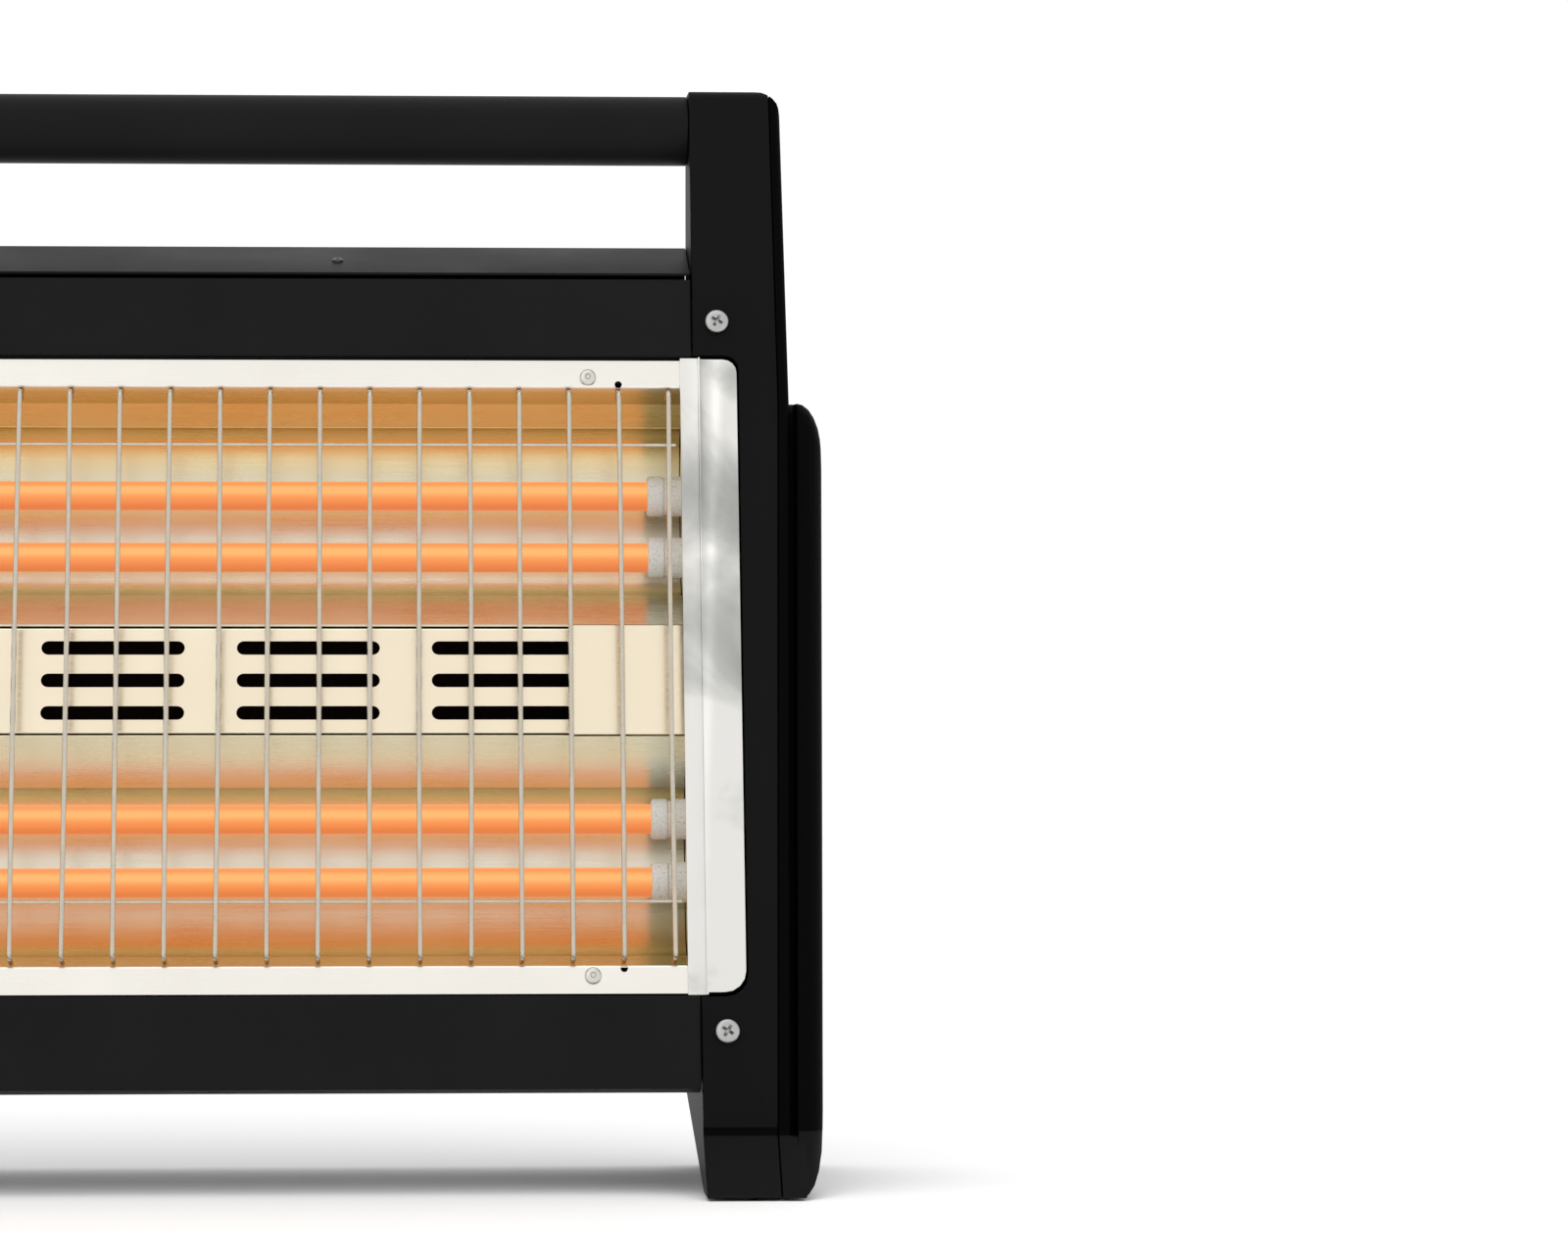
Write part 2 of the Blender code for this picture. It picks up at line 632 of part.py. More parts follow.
def panel_openings(side, word):
    """Everything that passes through the tray's walls, as one cutter of separate bodies."""
    tools = []
    inner = side * (INNER_X - 1 * MM)
    deep = side * (INNER_X + PANEL_WALL + 1 * MM)
    window = TUBE_PITCH / 2 + CAP_RADIUS + CAP_WINDOW_MARGIN
    for sign in (1, -1):
        centre = sign * PAIR_CENTRE
        outline = [
            lean(centre + du, TUBE_DEPTH + dw)
            for du, dw in box_outline(-window, window, -CAP_RADIUS - MM, CAP_RADIUS + MM)
        ]
        tools.append(along_x(f"window {sign}", outline, inner, deep))
        screw_y, screw_z = panel_screw_spot(sign)
        slot = [
            lean(lean_u(screw_z) + du, dw)
            for du, dw in box_outline(-TAB_HALF - GAP, TAB_HALF + GAP,
                                      RAIL_FACE - GAP, tab_depth() + SHEET + GAP)
        ]
        tools.append(along_x(f"tab slot {sign}", slot, inner, deep))
        tools.append(baked(drill(
            f"screw hole {sign}", (side * screw_x(), screw_y, screw_z), (0, UP, -IN),
            SCREW_RADIUS + GAP, 5 * MM, 12)))
    tools.append(baked(drill("handle screw hole", (side * (INNER_X + 1 * MM), HANDLE_Y, HANDLE_Z),
                             (1, 0, 0), SCREW_RADIUS + GAP, 3 * MM, 12)))
    for spot in foot_spots(side):
        tools.append(baked(drill("foot hole", (*spot, FOOT_PROUD + 1 * MM), (0, 0, 1),
                                 FOOT_STEM_RADIUS + GAP, 3 * MM, 12)))
    if side < 0:
        x, y = plunger_spot()
        tools.append(baked(drill("plunger hole", (x, y, FOOT_PROUD + 4 * MM), (0, 0, 1),
                                 PLUNGER_RADIUS + GAP, 7 * MM, 12)))
        x, y, z = gland_spot()
        tools.append(baked(drill("gland hole", (x, y, z), gland_axis(), GLAND_RADIUS + GAP,
                                 5 * MM, 16)))
    return joined_mesh(f"openings {word}", tools)


def baked(obj):
    """Moves an object's placement into its mesh."""
    obj.data.transform(obj.matrix_world)
    obj.matrix_world = Matrix.Identity(4)
    return obj


def tab_depth():
    """Depth of the rails' end tabs, just behind the panels' front wall."""
    return PANEL_WALL + GAP


def screw_x():
    return INNER_X + SCREW_INSET


def panel_screw_spot(sign):
    """(y, z) of the upper (1) or lower (-1) screw on the panels' front."""
    u = sign * (FACE_HALF + SCREW_OFFSET)
    return lean(u, 0)


def foot_spots(side):
    """(x, y) of the two rubber feet under one panel."""
    middle = side * (INNER_X + HEEL_INSET + (PANEL_WIDTH - RIM_TAPER - HEEL_INSET) / 2)
    return (
        (middle, TOE_Y + FOOT_SETBACK),
        (middle, REAR_Y - HEEL_LENGTH / 2),
    )


def plunger_spot():
    return (-(INNER_X + PANEL_WIDTH / 2), TOE_Y + PLUNGER_BACK)


def tail_z(y):
    """Height of the panel's rising lower edge."""
    run = (y - TOE_Y - TOE_FLAT) / (DEPTH - TOE_FLAT)
    return FOOT_PROUD + TAIL_RISE * run


def gland_axis():
    slope = TAIL_RISE / (DEPTH - TOE_FLAT)
    return Vector((0, -slope, 1)).normalized()


def gland_spot():
    y = heel_corner() - GLAND_SETBACK
    return (-(INNER_X + PANEL_WIDTH / 2), y, tail_z(y))


def bulge_profile(front_inset, edge_inset, drop, rise, shrink):
    """One ring of the bulge in (y, z): its front, back, top and bottom pulled in by the sizes."""
    low = FOOT_PROUD + rise
    kink = max(TOE_HEIGHT, low + 2 * MM)
    reach = TOE_REACH * (TOE_HEIGHT - low) / (TOE_HEIGHT - FOOT_PROUD)
    front_low = front_y(max(TOE_HEIGHT, low)) - max(reach, 0) + front_inset
    arch = max(ARCH_HEIGHT, low + 2 * MM) + shrink
    toe_back = max(TOE_Y + TOE_FLAT + GROOVE_DEPTH - shrink, front_low + 2 * MM)
    top = BULGE_TOP - drop
    corner = BULGE_CORNER_ROUND - shrink
    return rounded([
        ((front_low, low), 0),
        ((toe_back, low), 0),
        ((toe_back + GROOVE_DEPTH, arch), 0),
        ((heel_corner() - HEEL_SLOPE + shrink, arch), 0),
        ((heel_corner() + shrink, low), 0),
        ((REAR_Y - edge_inset, low), 0),
        ((REAR_Y - edge_inset, top), corner),
        ((front_y(top) + front_inset, top), corner),
        ((front_y(kink) + front_inset, kink), 0),
    ])


def bulge(name, side, wall=0.0):
    """The cover's rounded bulge, or its hollow when wall is given."""
    neck = bulge_profile(GROOVE_DEPTH + wall, wall, wall, wall, wall)
    profiles = [(GROOVE_WIDTH if not wall else GROOVE_WIDTH + BULGE_ROOT_STEP + wall, neck)]
    steps = 6
    for i in range(steps + 1):
        turn = math.radians(90 * i / steps)
        fall = 1 - math.cos(turn)
        out = GROOVE_WIDTH + BULGE_ROOT_STEP + (BULGE_REACH - BULGE_ROOT_STEP) * math.sin(turn)
        profiles.append((out - wall, bulge_profile(
            MM + BULGE_ROUND_FRONT * fall + wall, BULGE_ROUND_FRONT * fall + wall,
            BULGE_ROUND_TOP * fall + wall, BULGE_ROUND_BOTTOM * fall + wall, wall)))
    if wall:
        profiles = profiles[:1] + profiles[4:]
    root = COVER_PLATE / 2 if not wall else 2 * COVER_PLATE
    rings = [[(side * (plate_x(z) - root), y, z) for y, z in neck]]
    rings += [[(side * (plate_x(z) + out), y, z) for y, z in profile] for out, profile in profiles]
    return solid(name, rings, BLACK_MOULDING)


def toe_bridge(name, side):
    """The toe's front runs on over the groove's lower end and into the bulge."""
    toe = [corner[0] for corner in panel_corners()]
    back = TOE_Y + TOE_FLAT + GROOVE_DEPTH
    outline = [toe[0], (back, FOOT_PROUD), (back, TOE_HEIGHT - 2 * MM), toe[-2], toe[-1]]
    rings = [
        [(side * (plate_x(z) + out), y, z) for y, z in outline]
        for out in (-COVER_PLATE / 2, GROOVE_WIDTH + 2 * MM)
    ]
    return solid(name, rings, None)


def cover_section():
    """The cover's plate seen from the front, as (x, z)."""
    inner = RIM_X + GAP
    inner_top = inner - TOP_TAPER
    arc_points = corner_arc(TOP_CORNER_RADIUS, TOP_X)
    outer_arc = [point for point in arc_points if point[0] > inner_top + 0.1 * MM]
    start = corner_arc(TOP_CORNER_RADIUS, inner_top)[-1]
    return (
        [(inner - RIM_TAPER, 0), (PLATE_X - RIM_TAPER, 0), (PLATE_X, BULGE_TOP)]
        + outer_arc[::-1]
        + [start, (inner, BULGE_TOP)]
    )


def cover_profile():
    """The cover's plate seen from the side: the panel's outline with a heel instead of a rise."""
    corners = panel_corners()
    heel = [
        ((TOE_Y + TOE_FLAT + GROOVE_DEPTH, FOOT_PROUD), 0),
        ((TOE_Y + TOE_FLAT + 2 * GROOVE_DEPTH, ARCH_HEIGHT), 0),
        ((heel_corner() - HEEL_SLOPE, ARCH_HEIGHT), 0),
        ((heel_corner(), FOOT_PROUD), 0),
        ((REAR_Y, FOOT_PROUD), 0),
    ]
    return rounded([corners[0]] + heel + corners[3:])


def side_cover(side, word):
    """The outer cover: a thin plate with a hollow bulge from below the carry tube to the floor."""
    cover = along_x(f"side_cover_{word}", cover_profile(), side * (RIM_X - 2 * RIM_TAPER),
                    side * (PLATE_X + MM), BLACK_MOULDING)
    combine(cover, along_y(f"plate tool {word}", mirrored(cover_section(), side),
                           TOE_Y - MM, REAR_Y + MM), "INTERSECT")
    add(cover, bulge(f"bulge tool {word}", side))
    add(cover, toe_bridge(f"toe tool {word}", side))
    cut(cover, bulge(f"bulge hollow {word}", side, COVER_WALL))
    if side < 0:
        fit_controls(cover)
    return cover


def fit_controls(cover):
    """A cup for the knob and a seat for the lamp in the left cover."""
    cup = recess_radius() + COVER_WALL
    well = place(turned("knob well", [(cup, 0), (cup, KNOB_RECESS + COVER_WALL - MM)], 32),
                 (-(KNOB_SEAT - COVER_WALL), KNOB_Y, KNOB_Z), (-1, 0, 0))
    add(cover, well)
    cut(cover, place(turned("knob recess", [(recess_radius(), 0), (recess_radius(), 20 * MM)], 32),
                     (-KNOB_SEAT, KNOB_Y, KNOB_Z), (-1, 0, 0)))
    cut(cover, drill("shaft hole", (-KNOB_SEAT, KNOB_Y, KNOB_Z), (1, 0, 0),
                     SHAFT_RADIUS + 2 * GAP, 8 * MM))
    face = bulge_face(LAMP_Z)
    cut(cover, drill("lamp hole", (-face, KNOB_Y, LAMP_Z), (1, 0, 0), LAMP_RADIUS - MM, 8 * MM))
    cut(cover, drill("lamp seat", (-face, KNOB_Y, LAMP_Z), (1, 0, 0), LAMP_RADIUS + GAP,
                     LAMP_SEAT))


def recess_radius():
    return KNOB_RADIUS + 1.5 * MM


# ---- Carry tube ----

def handle():
    length = INNER_X - GAP
    outer = HANDLE_DIAMETER / 2
    bore = outer - HANDLE_WALL
    profile = [(outer, -length), (outer, length), (bore, length), (bore, -length)]
    place(turned("handle_tube", profile, 32, BLACK_STEEL, closed=True),
          (0, HANDLE_Y, HANDLE_Z), (1, 0, 0))
    for side, word in ((1, "right"), (-1, "left")):
        radius = bore - GAP
        place(
            turned(f"handle_plug_{word}", [
                (radius, 0), (radius, -HANDLE_PLUG), (SCREW_RADIUS + GAP, -HANDLE_PLUG),
                (SCREW_RADIUS + GAP, 0)], 20, SWITCH_PLASTIC, closed=True),
            (side * length, HANDLE_Y, HANDLE_Z), (side, 0, 0))
        pan_screw(f"handle_screw_{word}",
                  (side * (INNER_X + PANEL_WALL + GAP), HANDLE_Y, HANDLE_Z), (side, 0, 0),
                  PANEL_WALL + HANDLE_SCREW_GRIP)


def pan_screw(name, seat, outward, length):
    """A pan-head screw whose head sits on seat and whose shank runs the other way."""
    head = SCREW_HEAD_RADIUS
    profile = [
        (SCREW_RADIUS / 2, -length), (SCREW_RADIUS, SCREW_POINT - length), (SCREW_RADIUS, 0),
        (head, 0), (head, SCREW_HEAD_HEIGHT * 0.36), (head * 0.85, SCREW_HEAD_HEIGHT * 0.77),
        (head * 0.45, SCREW_HEAD_HEIGHT),
    ]
    return place(turned(name, profile, 14, STEEL), seat, outward)


# ---- Case ----

def rails():
    """The top and bottom rails of the front, each with end tabs behind the panels' fronts."""
    rail("top_rail", lean_u(TOP_RAIL_TOP, RAIL_FACE), lean_u(TOP_RAIL_LOW, RAIL_FACE), 1)
    rail("bottom_rail", lean_u(CASE_BOTTOM, RAIL_FACE), lean_u(BOTTOM_RAIL_TOP, RAIL_FACE), -1)


def rail(name, u_far, u_near, sign):
    """A folded rail: return, face, and a lip behind the reflector's strip."""
    lip = STRIP_DEPTH + FOIL + GAP
    path = [
        (u_far, RAIL_FACE + RAIL_RETURN), (u_far, RAIL_FACE),
        (u_near, RAIL_FACE), (u_near, lip), (u_near - sign * RAIL_LIP, lip),
    ]
    outline = sheet_outline(path, -SHEET * sign)
    body = along_x(name, [lean(u, w) for u, w in outline], -CASE_X, CASE_X, BLACK_STEEL)
    tabs = []
    u = lean_u(panel_screw_spot(sign)[1])
    for side in (1, -1):
        depth = tab_depth()
        root = side * (CASE_X - TAB_ROOT)
        tip = side * (INNER_X + TAB_REACH)
        outline = [
            (root, RAIL_FACE + TAB_OVERLAP), (side * CASE_X, RAIL_FACE + TAB_OVERLAP),
            (side * CASE_X, depth), (tip, depth), (tip, depth + SHEET), (root, depth + SHEET),
        ]
        rings = [[(x, *lean(v, w)) for x, w in outline] for v in (u - TAB_HALF, u + TAB_HALF)]
        tabs.append(solid(f"tab {side}", rings, None))
    add(body, joined_mesh(f"{name} tabs", tabs))
    for side in (1, -1):
        y, z = panel_screw_spot(sign)
        cut(body, drill(f"{name} screw {side}", (side * screw_x(), y, z), (0, UP, -IN),
                        SCREW_RADIUS + GAP, 8 * MM, 12))
        x, y, z = rivet_spot(side, sign)
        cut(body, drill(f"{name} rivet {side}", (x, y, z), (0, UP, -IN), RIVET_RADIUS + GAP,
                        8 * MM, 10))


def rivet_spot(side, sign):
    u = sign * (STRIP_OUTER - RIVET_DROP)
    return (side * (INNER_X - RIVET_INSET), *lean(u, STRIP_DEPTH))


def rear_cover():
    """One folded sheet: sloping shoulder, upright back with air slots, and a floor."""
    path = [
        (front_y(SEAM_Z) + SHOULDER_SETBACK, SEAM_Z),
        (CASE_BACK, CASE_TOP),
        (CASE_BACK, CASE_BOTTOM + MM),
        (front_y(CASE_BOTTOM) + RAIL_RETURN + FLOOR_SETBACK, CASE_BOTTOM + MM),
    ]
    outline = sheet_outline(path, -SHEET)
    cover = along_x("rear_cover", outline, -CASE_X, CASE_X, BLACK_STEEL)
    slots = []
    for centre_z in (CASE_BOTTOM + REAR_SLOT_MARGIN, CASE_TOP - REAR_SLOT_MARGIN):
        for x, dz in slot_pattern():
            outline = slot_outline((x, centre_z + dz), SLOT_LENGTH, SLOT_HEIGHT, 3)
            slots.append(along_y("slot", outline, CASE_BACK - 4 * SHEET, CASE_BACK + 4 * SHEET))
    cut(cover, joined_mesh("rear slots", slots))
    return cover


def slot_pattern():
    """Middles of the air slots: groups along X, three rows each."""
    reach = int((CHEEK_X - LAP_LENGTH) / SLOT_GROUP_PITCH)
    return [
        (group * SLOT_GROUP_PITCH, row * SLOT_ROW_PITCH)
        for group in range(-reach, reach + 1)
        for row in (-1, 0, 1)
    ]


def heat_shield():
    low = CASE_BOTTOM + SHIELD_LOW
    high = SEAM_Z - SHIELD_HIGH
    path = [
        (SHIELD_Y - 3 * SHIELD_LIP, low), (SHIELD_Y, low), (SHIELD_Y, high),
        (SHIELD_Y - SHIELD_LIP, high),
    ]
    along_x("heat_shield", sheet_outline(path, FOIL), -CASE_X, CASE_X, STEEL)


# ---- Reflector ----

def trough_path():
    """The upper trough's front face in (u, w), from its outer strip to the middle land."""
    outer = OPENING_HALF
    knee = (outer - WALL_DRAFT - TROUGH_FLARE, TROUGH_KNEE)
    floor_outer = outer - TROUGH_KNEE
    floor_inner = LAND_HALF + TROUGH_KNEE
    ramp_top = (LAND_HALF + RAMP_RUN, LAND_DEPTH + RAMP_FALL)
    path = [
        (STRIP_OUTER, STRIP_DEPTH), (outer, STRIP_DEPTH), (outer - WALL_DRAFT, TROUGH_WALL), knee,
    ]
    path += quarter_bend(knee, (floor_outer, TROUGH_DEPTH), OUTER_BEND_STEPS)
    path += quarter_bend((floor_inner, TROUGH_DEPTH), ramp_top, INNER_BEND_STEPS, start_flat=True)
    path.append((LAND_HALF, LAND_DEPTH))
    return path


def quarter_bend(start, end, steps, start_flat=False):
    """Points of an elliptical bend between two (u, w) points, flat at one of its ends."""
    made = []
    span_u, span_w = end[0] - start[0], end[1] - start[1]
    for i in range(0 if start_flat else 1, steps + 1):
        turn = math.radians(90 * i / steps)
        along, across = (math.sin(turn), 1 - math.cos(turn))
        if not start_flat:
            along, across = (1 - math.cos(turn), math.sin(turn))
        made.append((start[0] + span_u * along, start[1] + span_w * across))
    return made


def reflector():
    outline = sheet_outline(trough_path(), -FOIL)
    for sign, word in ((1, "upper"), (-1, "lower")):
        shape = [lean(sign * u, w) for u, w in outline]
        trough = along_x(f"reflector_{word}", shape, -TROUGH_X, TROUGH_X, ALUMINIUM)
        for side in (1, -1):
            x, y, z = rivet_spot(side, sign)
            cut(trough, drill(f"rivet hole {word} {side}", (x, y, z), (0, UP, -IN),
                              RIVET_RADIUS + GAP, 1.5 * MM, 10))
            x = side * (wire_count() - 1) * WIRE_PITCH
            u = sign * (OPENING_HALF + WIRE_HOLE_INSET)
            cut(trough, drill(f"wire hole {word} {side}", (x, *lean(u, STRIP_DEPTH)),
                              (0, UP, -IN), WIRE_HOLE_RADIUS, 1.5 * MM, 10))
    vent_strip()
    for side, word in ((1, "right"), (-1, "left")):
        cheek(side, word)


def vent_strip():
    """The raised middle strip with seven groups of air slots, its lips behind the troughs."""
    half = LAND_HALF - GAP - FOIL
    run = Vector((RAMP_RUN, RAMP_FALL)).normalized() * VENT_LIP
    back = FOIL + 2 * GAP
    path = [
        (half + run.x - back, LAND_DEPTH + run.y + back), (half - back * 0.4, LAND_DEPTH),
        (-half + back * 0.4, LAND_DEPTH), (-half - run.x + back, LAND_DEPTH + run.y + back),
    ]
    outline = sheet_outline(path, -FOIL)
    strip = along_x("vent_strip", [lean(u, w) for u, w in outline],
                    -TROUGH_X, TROUGH_X, ALUMINIUM)
    slots = [
        along_w("vent slot", slot_outline((x, u), SLOT_LENGTH, SLOT_HEIGHT, 3),
                LAND_DEPTH - 3 * MM, LAND_DEPTH + 3 * MM)
        for x, u in slot_pattern()
    ]
    cut(strip, joined_mesh("vent slots", slots))


def cheek(side, word):
    """An end wall of the reflector that holds four ceramic caps and laps over the vent strip."""
    outer = OPENING_HALF + FOIL + GAP
    deep = TROUGH_DEPTH + CHEEK_DEEPER
    corner = outer - TROUGH_KNEE + CHEEK_CORNER
    shape = [
        (-outer, STRIP_DEPTH + FOIL + GAP), (outer, STRIP_DEPTH + FOIL + GAP),
        (outer, TROUGH_WALL + CHEEK_SIDE), (corner, deep), (-corner, deep),
        (-outer, TROUGH_WALL + CHEEK_SIDE),
    ]
    wall = along_x(f"reflector_cheek_{word}", [lean(u, w) for u, w in shape],
                   side * CHEEK_X, side * (CHEEK_X + FOIL), ALUMINIUM)
    lap = LAND_HALF - LAP_MARGIN
    tab = [
        lean(u, w) for u, w in box_outline(-lap, lap, LAND_DEPTH - GAP - FOIL, LAND_DEPTH - GAP)
    ]
    add(wall, along_x(f"lap tool {word}", tab, side * (CHEEK_X - LAP_LENGTH),
                      side * (CHEEK_X + FOIL / 2)))
    holes = [
        baked(drill("cap hole", (side * CHEEK_X, *lean(u, TUBE_DEPTH)), (1, 0, 0),
                    CAP_NECK_RADIUS + GAP, 3 * MM, 16))
        for u in tube_spots()
    ]
    cut(wall, joined_mesh(f"cap holes {word}", holes))


def end_bracket(side, word):
    """A pressed cover plate in the panel's notch, stepped down to a lip over the strips."""
    outer = bracket_outer()
    plate = along_w(f"end_bracket_{word}",
                    mirrored(notch_outline(bracket_half(), outer), side), 0, FOIL, ALUMINIUM)
    fold = INNER_X - BRACKET_OVERLAP + BRACKET_LIP
    trim = box_outline(INNER_X - BRACKET_BACK_OFF, fold, -FACE_HALF - MM, FACE_HALF + MM)
    cut(plate, along_w(f"fold trim {word}", mirrored(trim, side),
                       -BRACKET_BACK_OFF, BRACKET_BACK_OFF))
    half = bracket_half() + BRACKET_LIP_EXTRA
    lip_face = STRIP_DEPTH - GAP - FOIL
    lip = box_outline(fold - BRACKET_LIP, fold + FOIL, -half, half)
    step = box_outline(fold, fold + FOIL, -half, half)
    back = box_outline(outer - BRACKET_RETURN_INSET - FOIL, outer - BRACKET_RETURN_INSET,
                       -half + BRACKET_RETURN_END, half - BRACKET_RETURN_END)
    for edge, shape, w0, w1 in (
        ("lip", lip, lip_face, lip_face + FOIL),
        ("step", step, 0, lip_face + FOIL),
        ("return", back, FOIL / 2, BRACKET_RETURN),
    ):
        add(plate, along_w(f"{edge} tool {word}", mirrored(shape, side), w0, w1))


# ---- Tubes ----

def tube_spots():
    """The four tubes' u, from the top down."""
    half = TUBE_PITCH / 2
    return [PAIR_CENTRE + half, PAIR_CENTRE - half, -PAIR_CENTRE + half, -PAIR_CENTRE - half]


def tubes():
    """Quartz tubes with their coils, and the ceramic caps that carry them in the cheeks."""
    for number, u in enumerate(tube_spots(), 1):
        middle = (0, *lean(u, TUBE_DEPTH))
        end = GLOW_END_X - GAP
        place(turned(f"quartz_tube_{number}", [
            (TUBE_RADIUS, -end), (TUBE_RADIUS, end), (TUBE_BORE, end), (TUBE_BORE, -end)],
            24, QUARTZ, closed=True), middle, (1, 0, 0))
        coil_end = end - COIL_INSET
        place(turned(f"heating_coil_{number}", [
            (PIN_RADIUS, -PIN_END_X), (PIN_RADIUS, -coil_end), (COIL_RADIUS, -coil_end),
            (COIL_RADIUS, coil_end), (PIN_RADIUS, coil_end), (PIN_RADIUS, PIN_END_X)],
            12, COIL), middle, (1, 0, 0))
        for side, word in ((1, "right"), (-1, "left")):
            ceramic_cap(f"ceramic_cap_{number}_{word}", side, middle)


def ceramic_cap(name, side, middle):
    """A turned cap: socket for the tube, shoulder against the cheek, neck and bore for the pin."""
    nose = -CAP_NOSE
    shoulder = -GAP
    profile = [
        (TUBE_RADIUS + GAP, nose), (CAP_RADIUS - CAP_CHAMFER, nose), (CAP_RADIUS, nose + CAP_CHAMFER),
        (CAP_RADIUS, shoulder), (CAP_NECK_RADIUS, shoulder), (CAP_NECK_RADIUS, CAP_TAIL),
        (PIN_RADIUS + GAP, CAP_TAIL), (PIN_RADIUS + GAP, nose + CAP_SOCKET),
        (TUBE_RADIUS + GAP, nose + CAP_SOCKET),
    ]
    x = side * CHEEK_X
    place(turned(name, profile, 16, CERAMIC, closed=True), (x, middle[1], middle[2]),
          (side, 0, 0))


# ---- Wire guard ----

def wire_count():
    """Upright wires on each side of the middle one."""
    return int((INNER_X - BRACKET_OVERLAP - WIRE_RADIUS) / WIRE_PITCH)


def wire_guard():
    """Upright wires hooked in behind the strips, with two cross wires behind them."""
    draft = WALL_DRAFT * (GUARD_HOOK - STRIP_DEPTH) / (TROUGH_WALL - STRIP_DEPTH)
    reach = OPENING_HALF - draft - WIRE_RADIUS - GAP
    count = wire_count()
    wires = []
    for i in range(-count, count + 1):
        path = [
            (-reach, GUARD_HOOK), (-reach, -GUARD_PROUD), (reach, -GUARD_PROUD),
            (reach, GUARD_HOOK),
        ]
        points = [(i * WIRE_PITCH, *lean(u, w)) for u, w in path]
        wires.append(swept(f"upright {i}", points, WIRE_RADIUS, 4))
    guard = joined_mesh("wire_guard", wires)
    guard.data.materials.append(STEEL)
    half = count * WIRE_PITCH + CROSS_WIRE_END
    depth = -GUARD_PROUD + WIRE_RADIUS
    offset = OPENING_HALF - CROSS_WIRE_INSET
    cross = [
        swept(f"cross {sign}", [(-half, *lean(sign * offset, depth)),
                                (half, *lean(sign * offset, depth))],
              CROSS_WIRE_RADIUS, 4)
        for sign in (1, -1)
    ]
    add(guard, joined_mesh("cross wires", cross))


# ---- Fixings, feet and controls ----

def fixings():
    for side, word in ((1, "right"), (-1, "left")):
        for sign, level in ((1, "upper"), (-1, "lower")):
            y, z = panel_screw_spot(sign)
            seat = (side * screw_x(), y - UP * GAP, z + IN * GAP)
            pan_screw(f"panel_screw_{level}_{word}", seat, (0, -UP, IN), SCREW_LENGTH)
            rivet(f"strip_rivet_{level}_{word}", *rivet_spot(side, sign))
        for spot, level in zip(foot_spots(side), ("front", "rear")):
            rubber_foot(f"rubber_foot_{level}_{word}", spot)


def rivet(name, x, y, z):
    """A pop rivet: domed head on the strip, shank through strip and lip."""
    head = RIVET_HEAD_RADIUS
    profile = [
        (RIVET_RADIUS, -RIVET_SHANK), (RIVET_RADIUS, 0), (head, 0),
        (head * 0.8, RIVET_HEAD_HEIGHT * 0.64), (head * 0.4, RIVET_HEAD_HEIGHT),
    ]
    place(turned(name, profile, 12, ALUMINIUM), (x, y - UP * GAP, z + IN * GAP), (0, -UP, IN))


def rubber_foot(name, spot):
    """A push-in foot: pad on the floor, stem through the panel's floor."""
    top = FOOT_PROUD - GAP
    profile = [
        (FOOT_RADIUS - 0.4 * MM, 0), (FOOT_RADIUS, 0.3 * MM), (FOOT_RADIUS, top),
        (FOOT_STEM_RADIUS, top), (FOOT_STEM_RADIUS, FOOT_PROUD + PANEL_WALL + FOOT_BARB),
        (FOOT_STEM_RADIUS * 0.6, FOOT_PROUD + PANEL_WALL + FOOT_TIP),
    ]
    place(turned(name, profile, 14, RUBBER), (*spot, 0))


def selector():
    """Rotary heat switch: body inside the cover, shaft, and a knob sunk in the cover's cup."""
    inner = KNOB_SEAT - COVER_WALL - GAP
    half = SWITCH_SIZE / 2
    body = block("selector_switch_body",
                 (-inner, KNOB_Y - half, KNOB_Z - half),
                 (-(inner - SWITCH_DEPTH), KNOB_Y + half, KNOB_Z + half), SWITCH_PLASTIC)
    cut(body, drill("shaft socket", (-inner, KNOB_Y, KNOB_Z), (1, 0, 0),
                    SHAFT_RADIUS + GAP, 8 * MM))
    shaft_low = inner - 6 * MM
    shaft_high = KNOB_SEAT + KNOB_HEIGHT - 3 * MM
    place(turned("selector_shaft", [(SHAFT_RADIUS, 0), (SHAFT_RADIUS, shaft_high - shaft_low)],
                 12, STEEL), (-shaft_low, KNOB_Y, KNOB_Z), (-1, 0, 0))
    rim = KNOB_RADIUS
    lift = 0.4 * MM
    knob = place(turned("selector_knob", [
        (rim, lift), (rim, KNOB_SKIRT - 1.5 * MM), (rim - 1.5 * MM, KNOB_SKIRT - 0.5 * MM),
        (rim - 2.5 * MM, KNOB_SKIRT)], 32, SWITCH_PLASTIC),
        (-KNOB_SEAT, KNOB_Y, KNOB_Z), (-1, 0, 0))
    root, tip = KNOB_GRIP, KNOB_GRIP - MM
    grip = solid("grip bar", [
        [(x, y, KNOB_SKIRT - MM) for x, y in box_outline(-root, root, 2 * MM - rim, rim - 2 * MM)],
        [(x, y, KNOB_HEIGHT) for x, y in box_outline(-tip, tip, 3 * MM - rim, rim - 3 * MM)],
    ], None)
    place(grip, (-KNOB_SEAT, KNOB_Y, KNOB_Z), (-1, 0, 0))
    add(knob, grip)
    hub = SHAFT_RADIUS + GAP
    bore = turned("knob bore", [(hub, -2 * MM), (hub, KNOB_HEIGHT - 3 * MM + GAP)], 12)
    cut(knob, place(bore, (-KNOB_SEAT, KNOB_Y, KNOB_Z), (-1, 0, 0)))


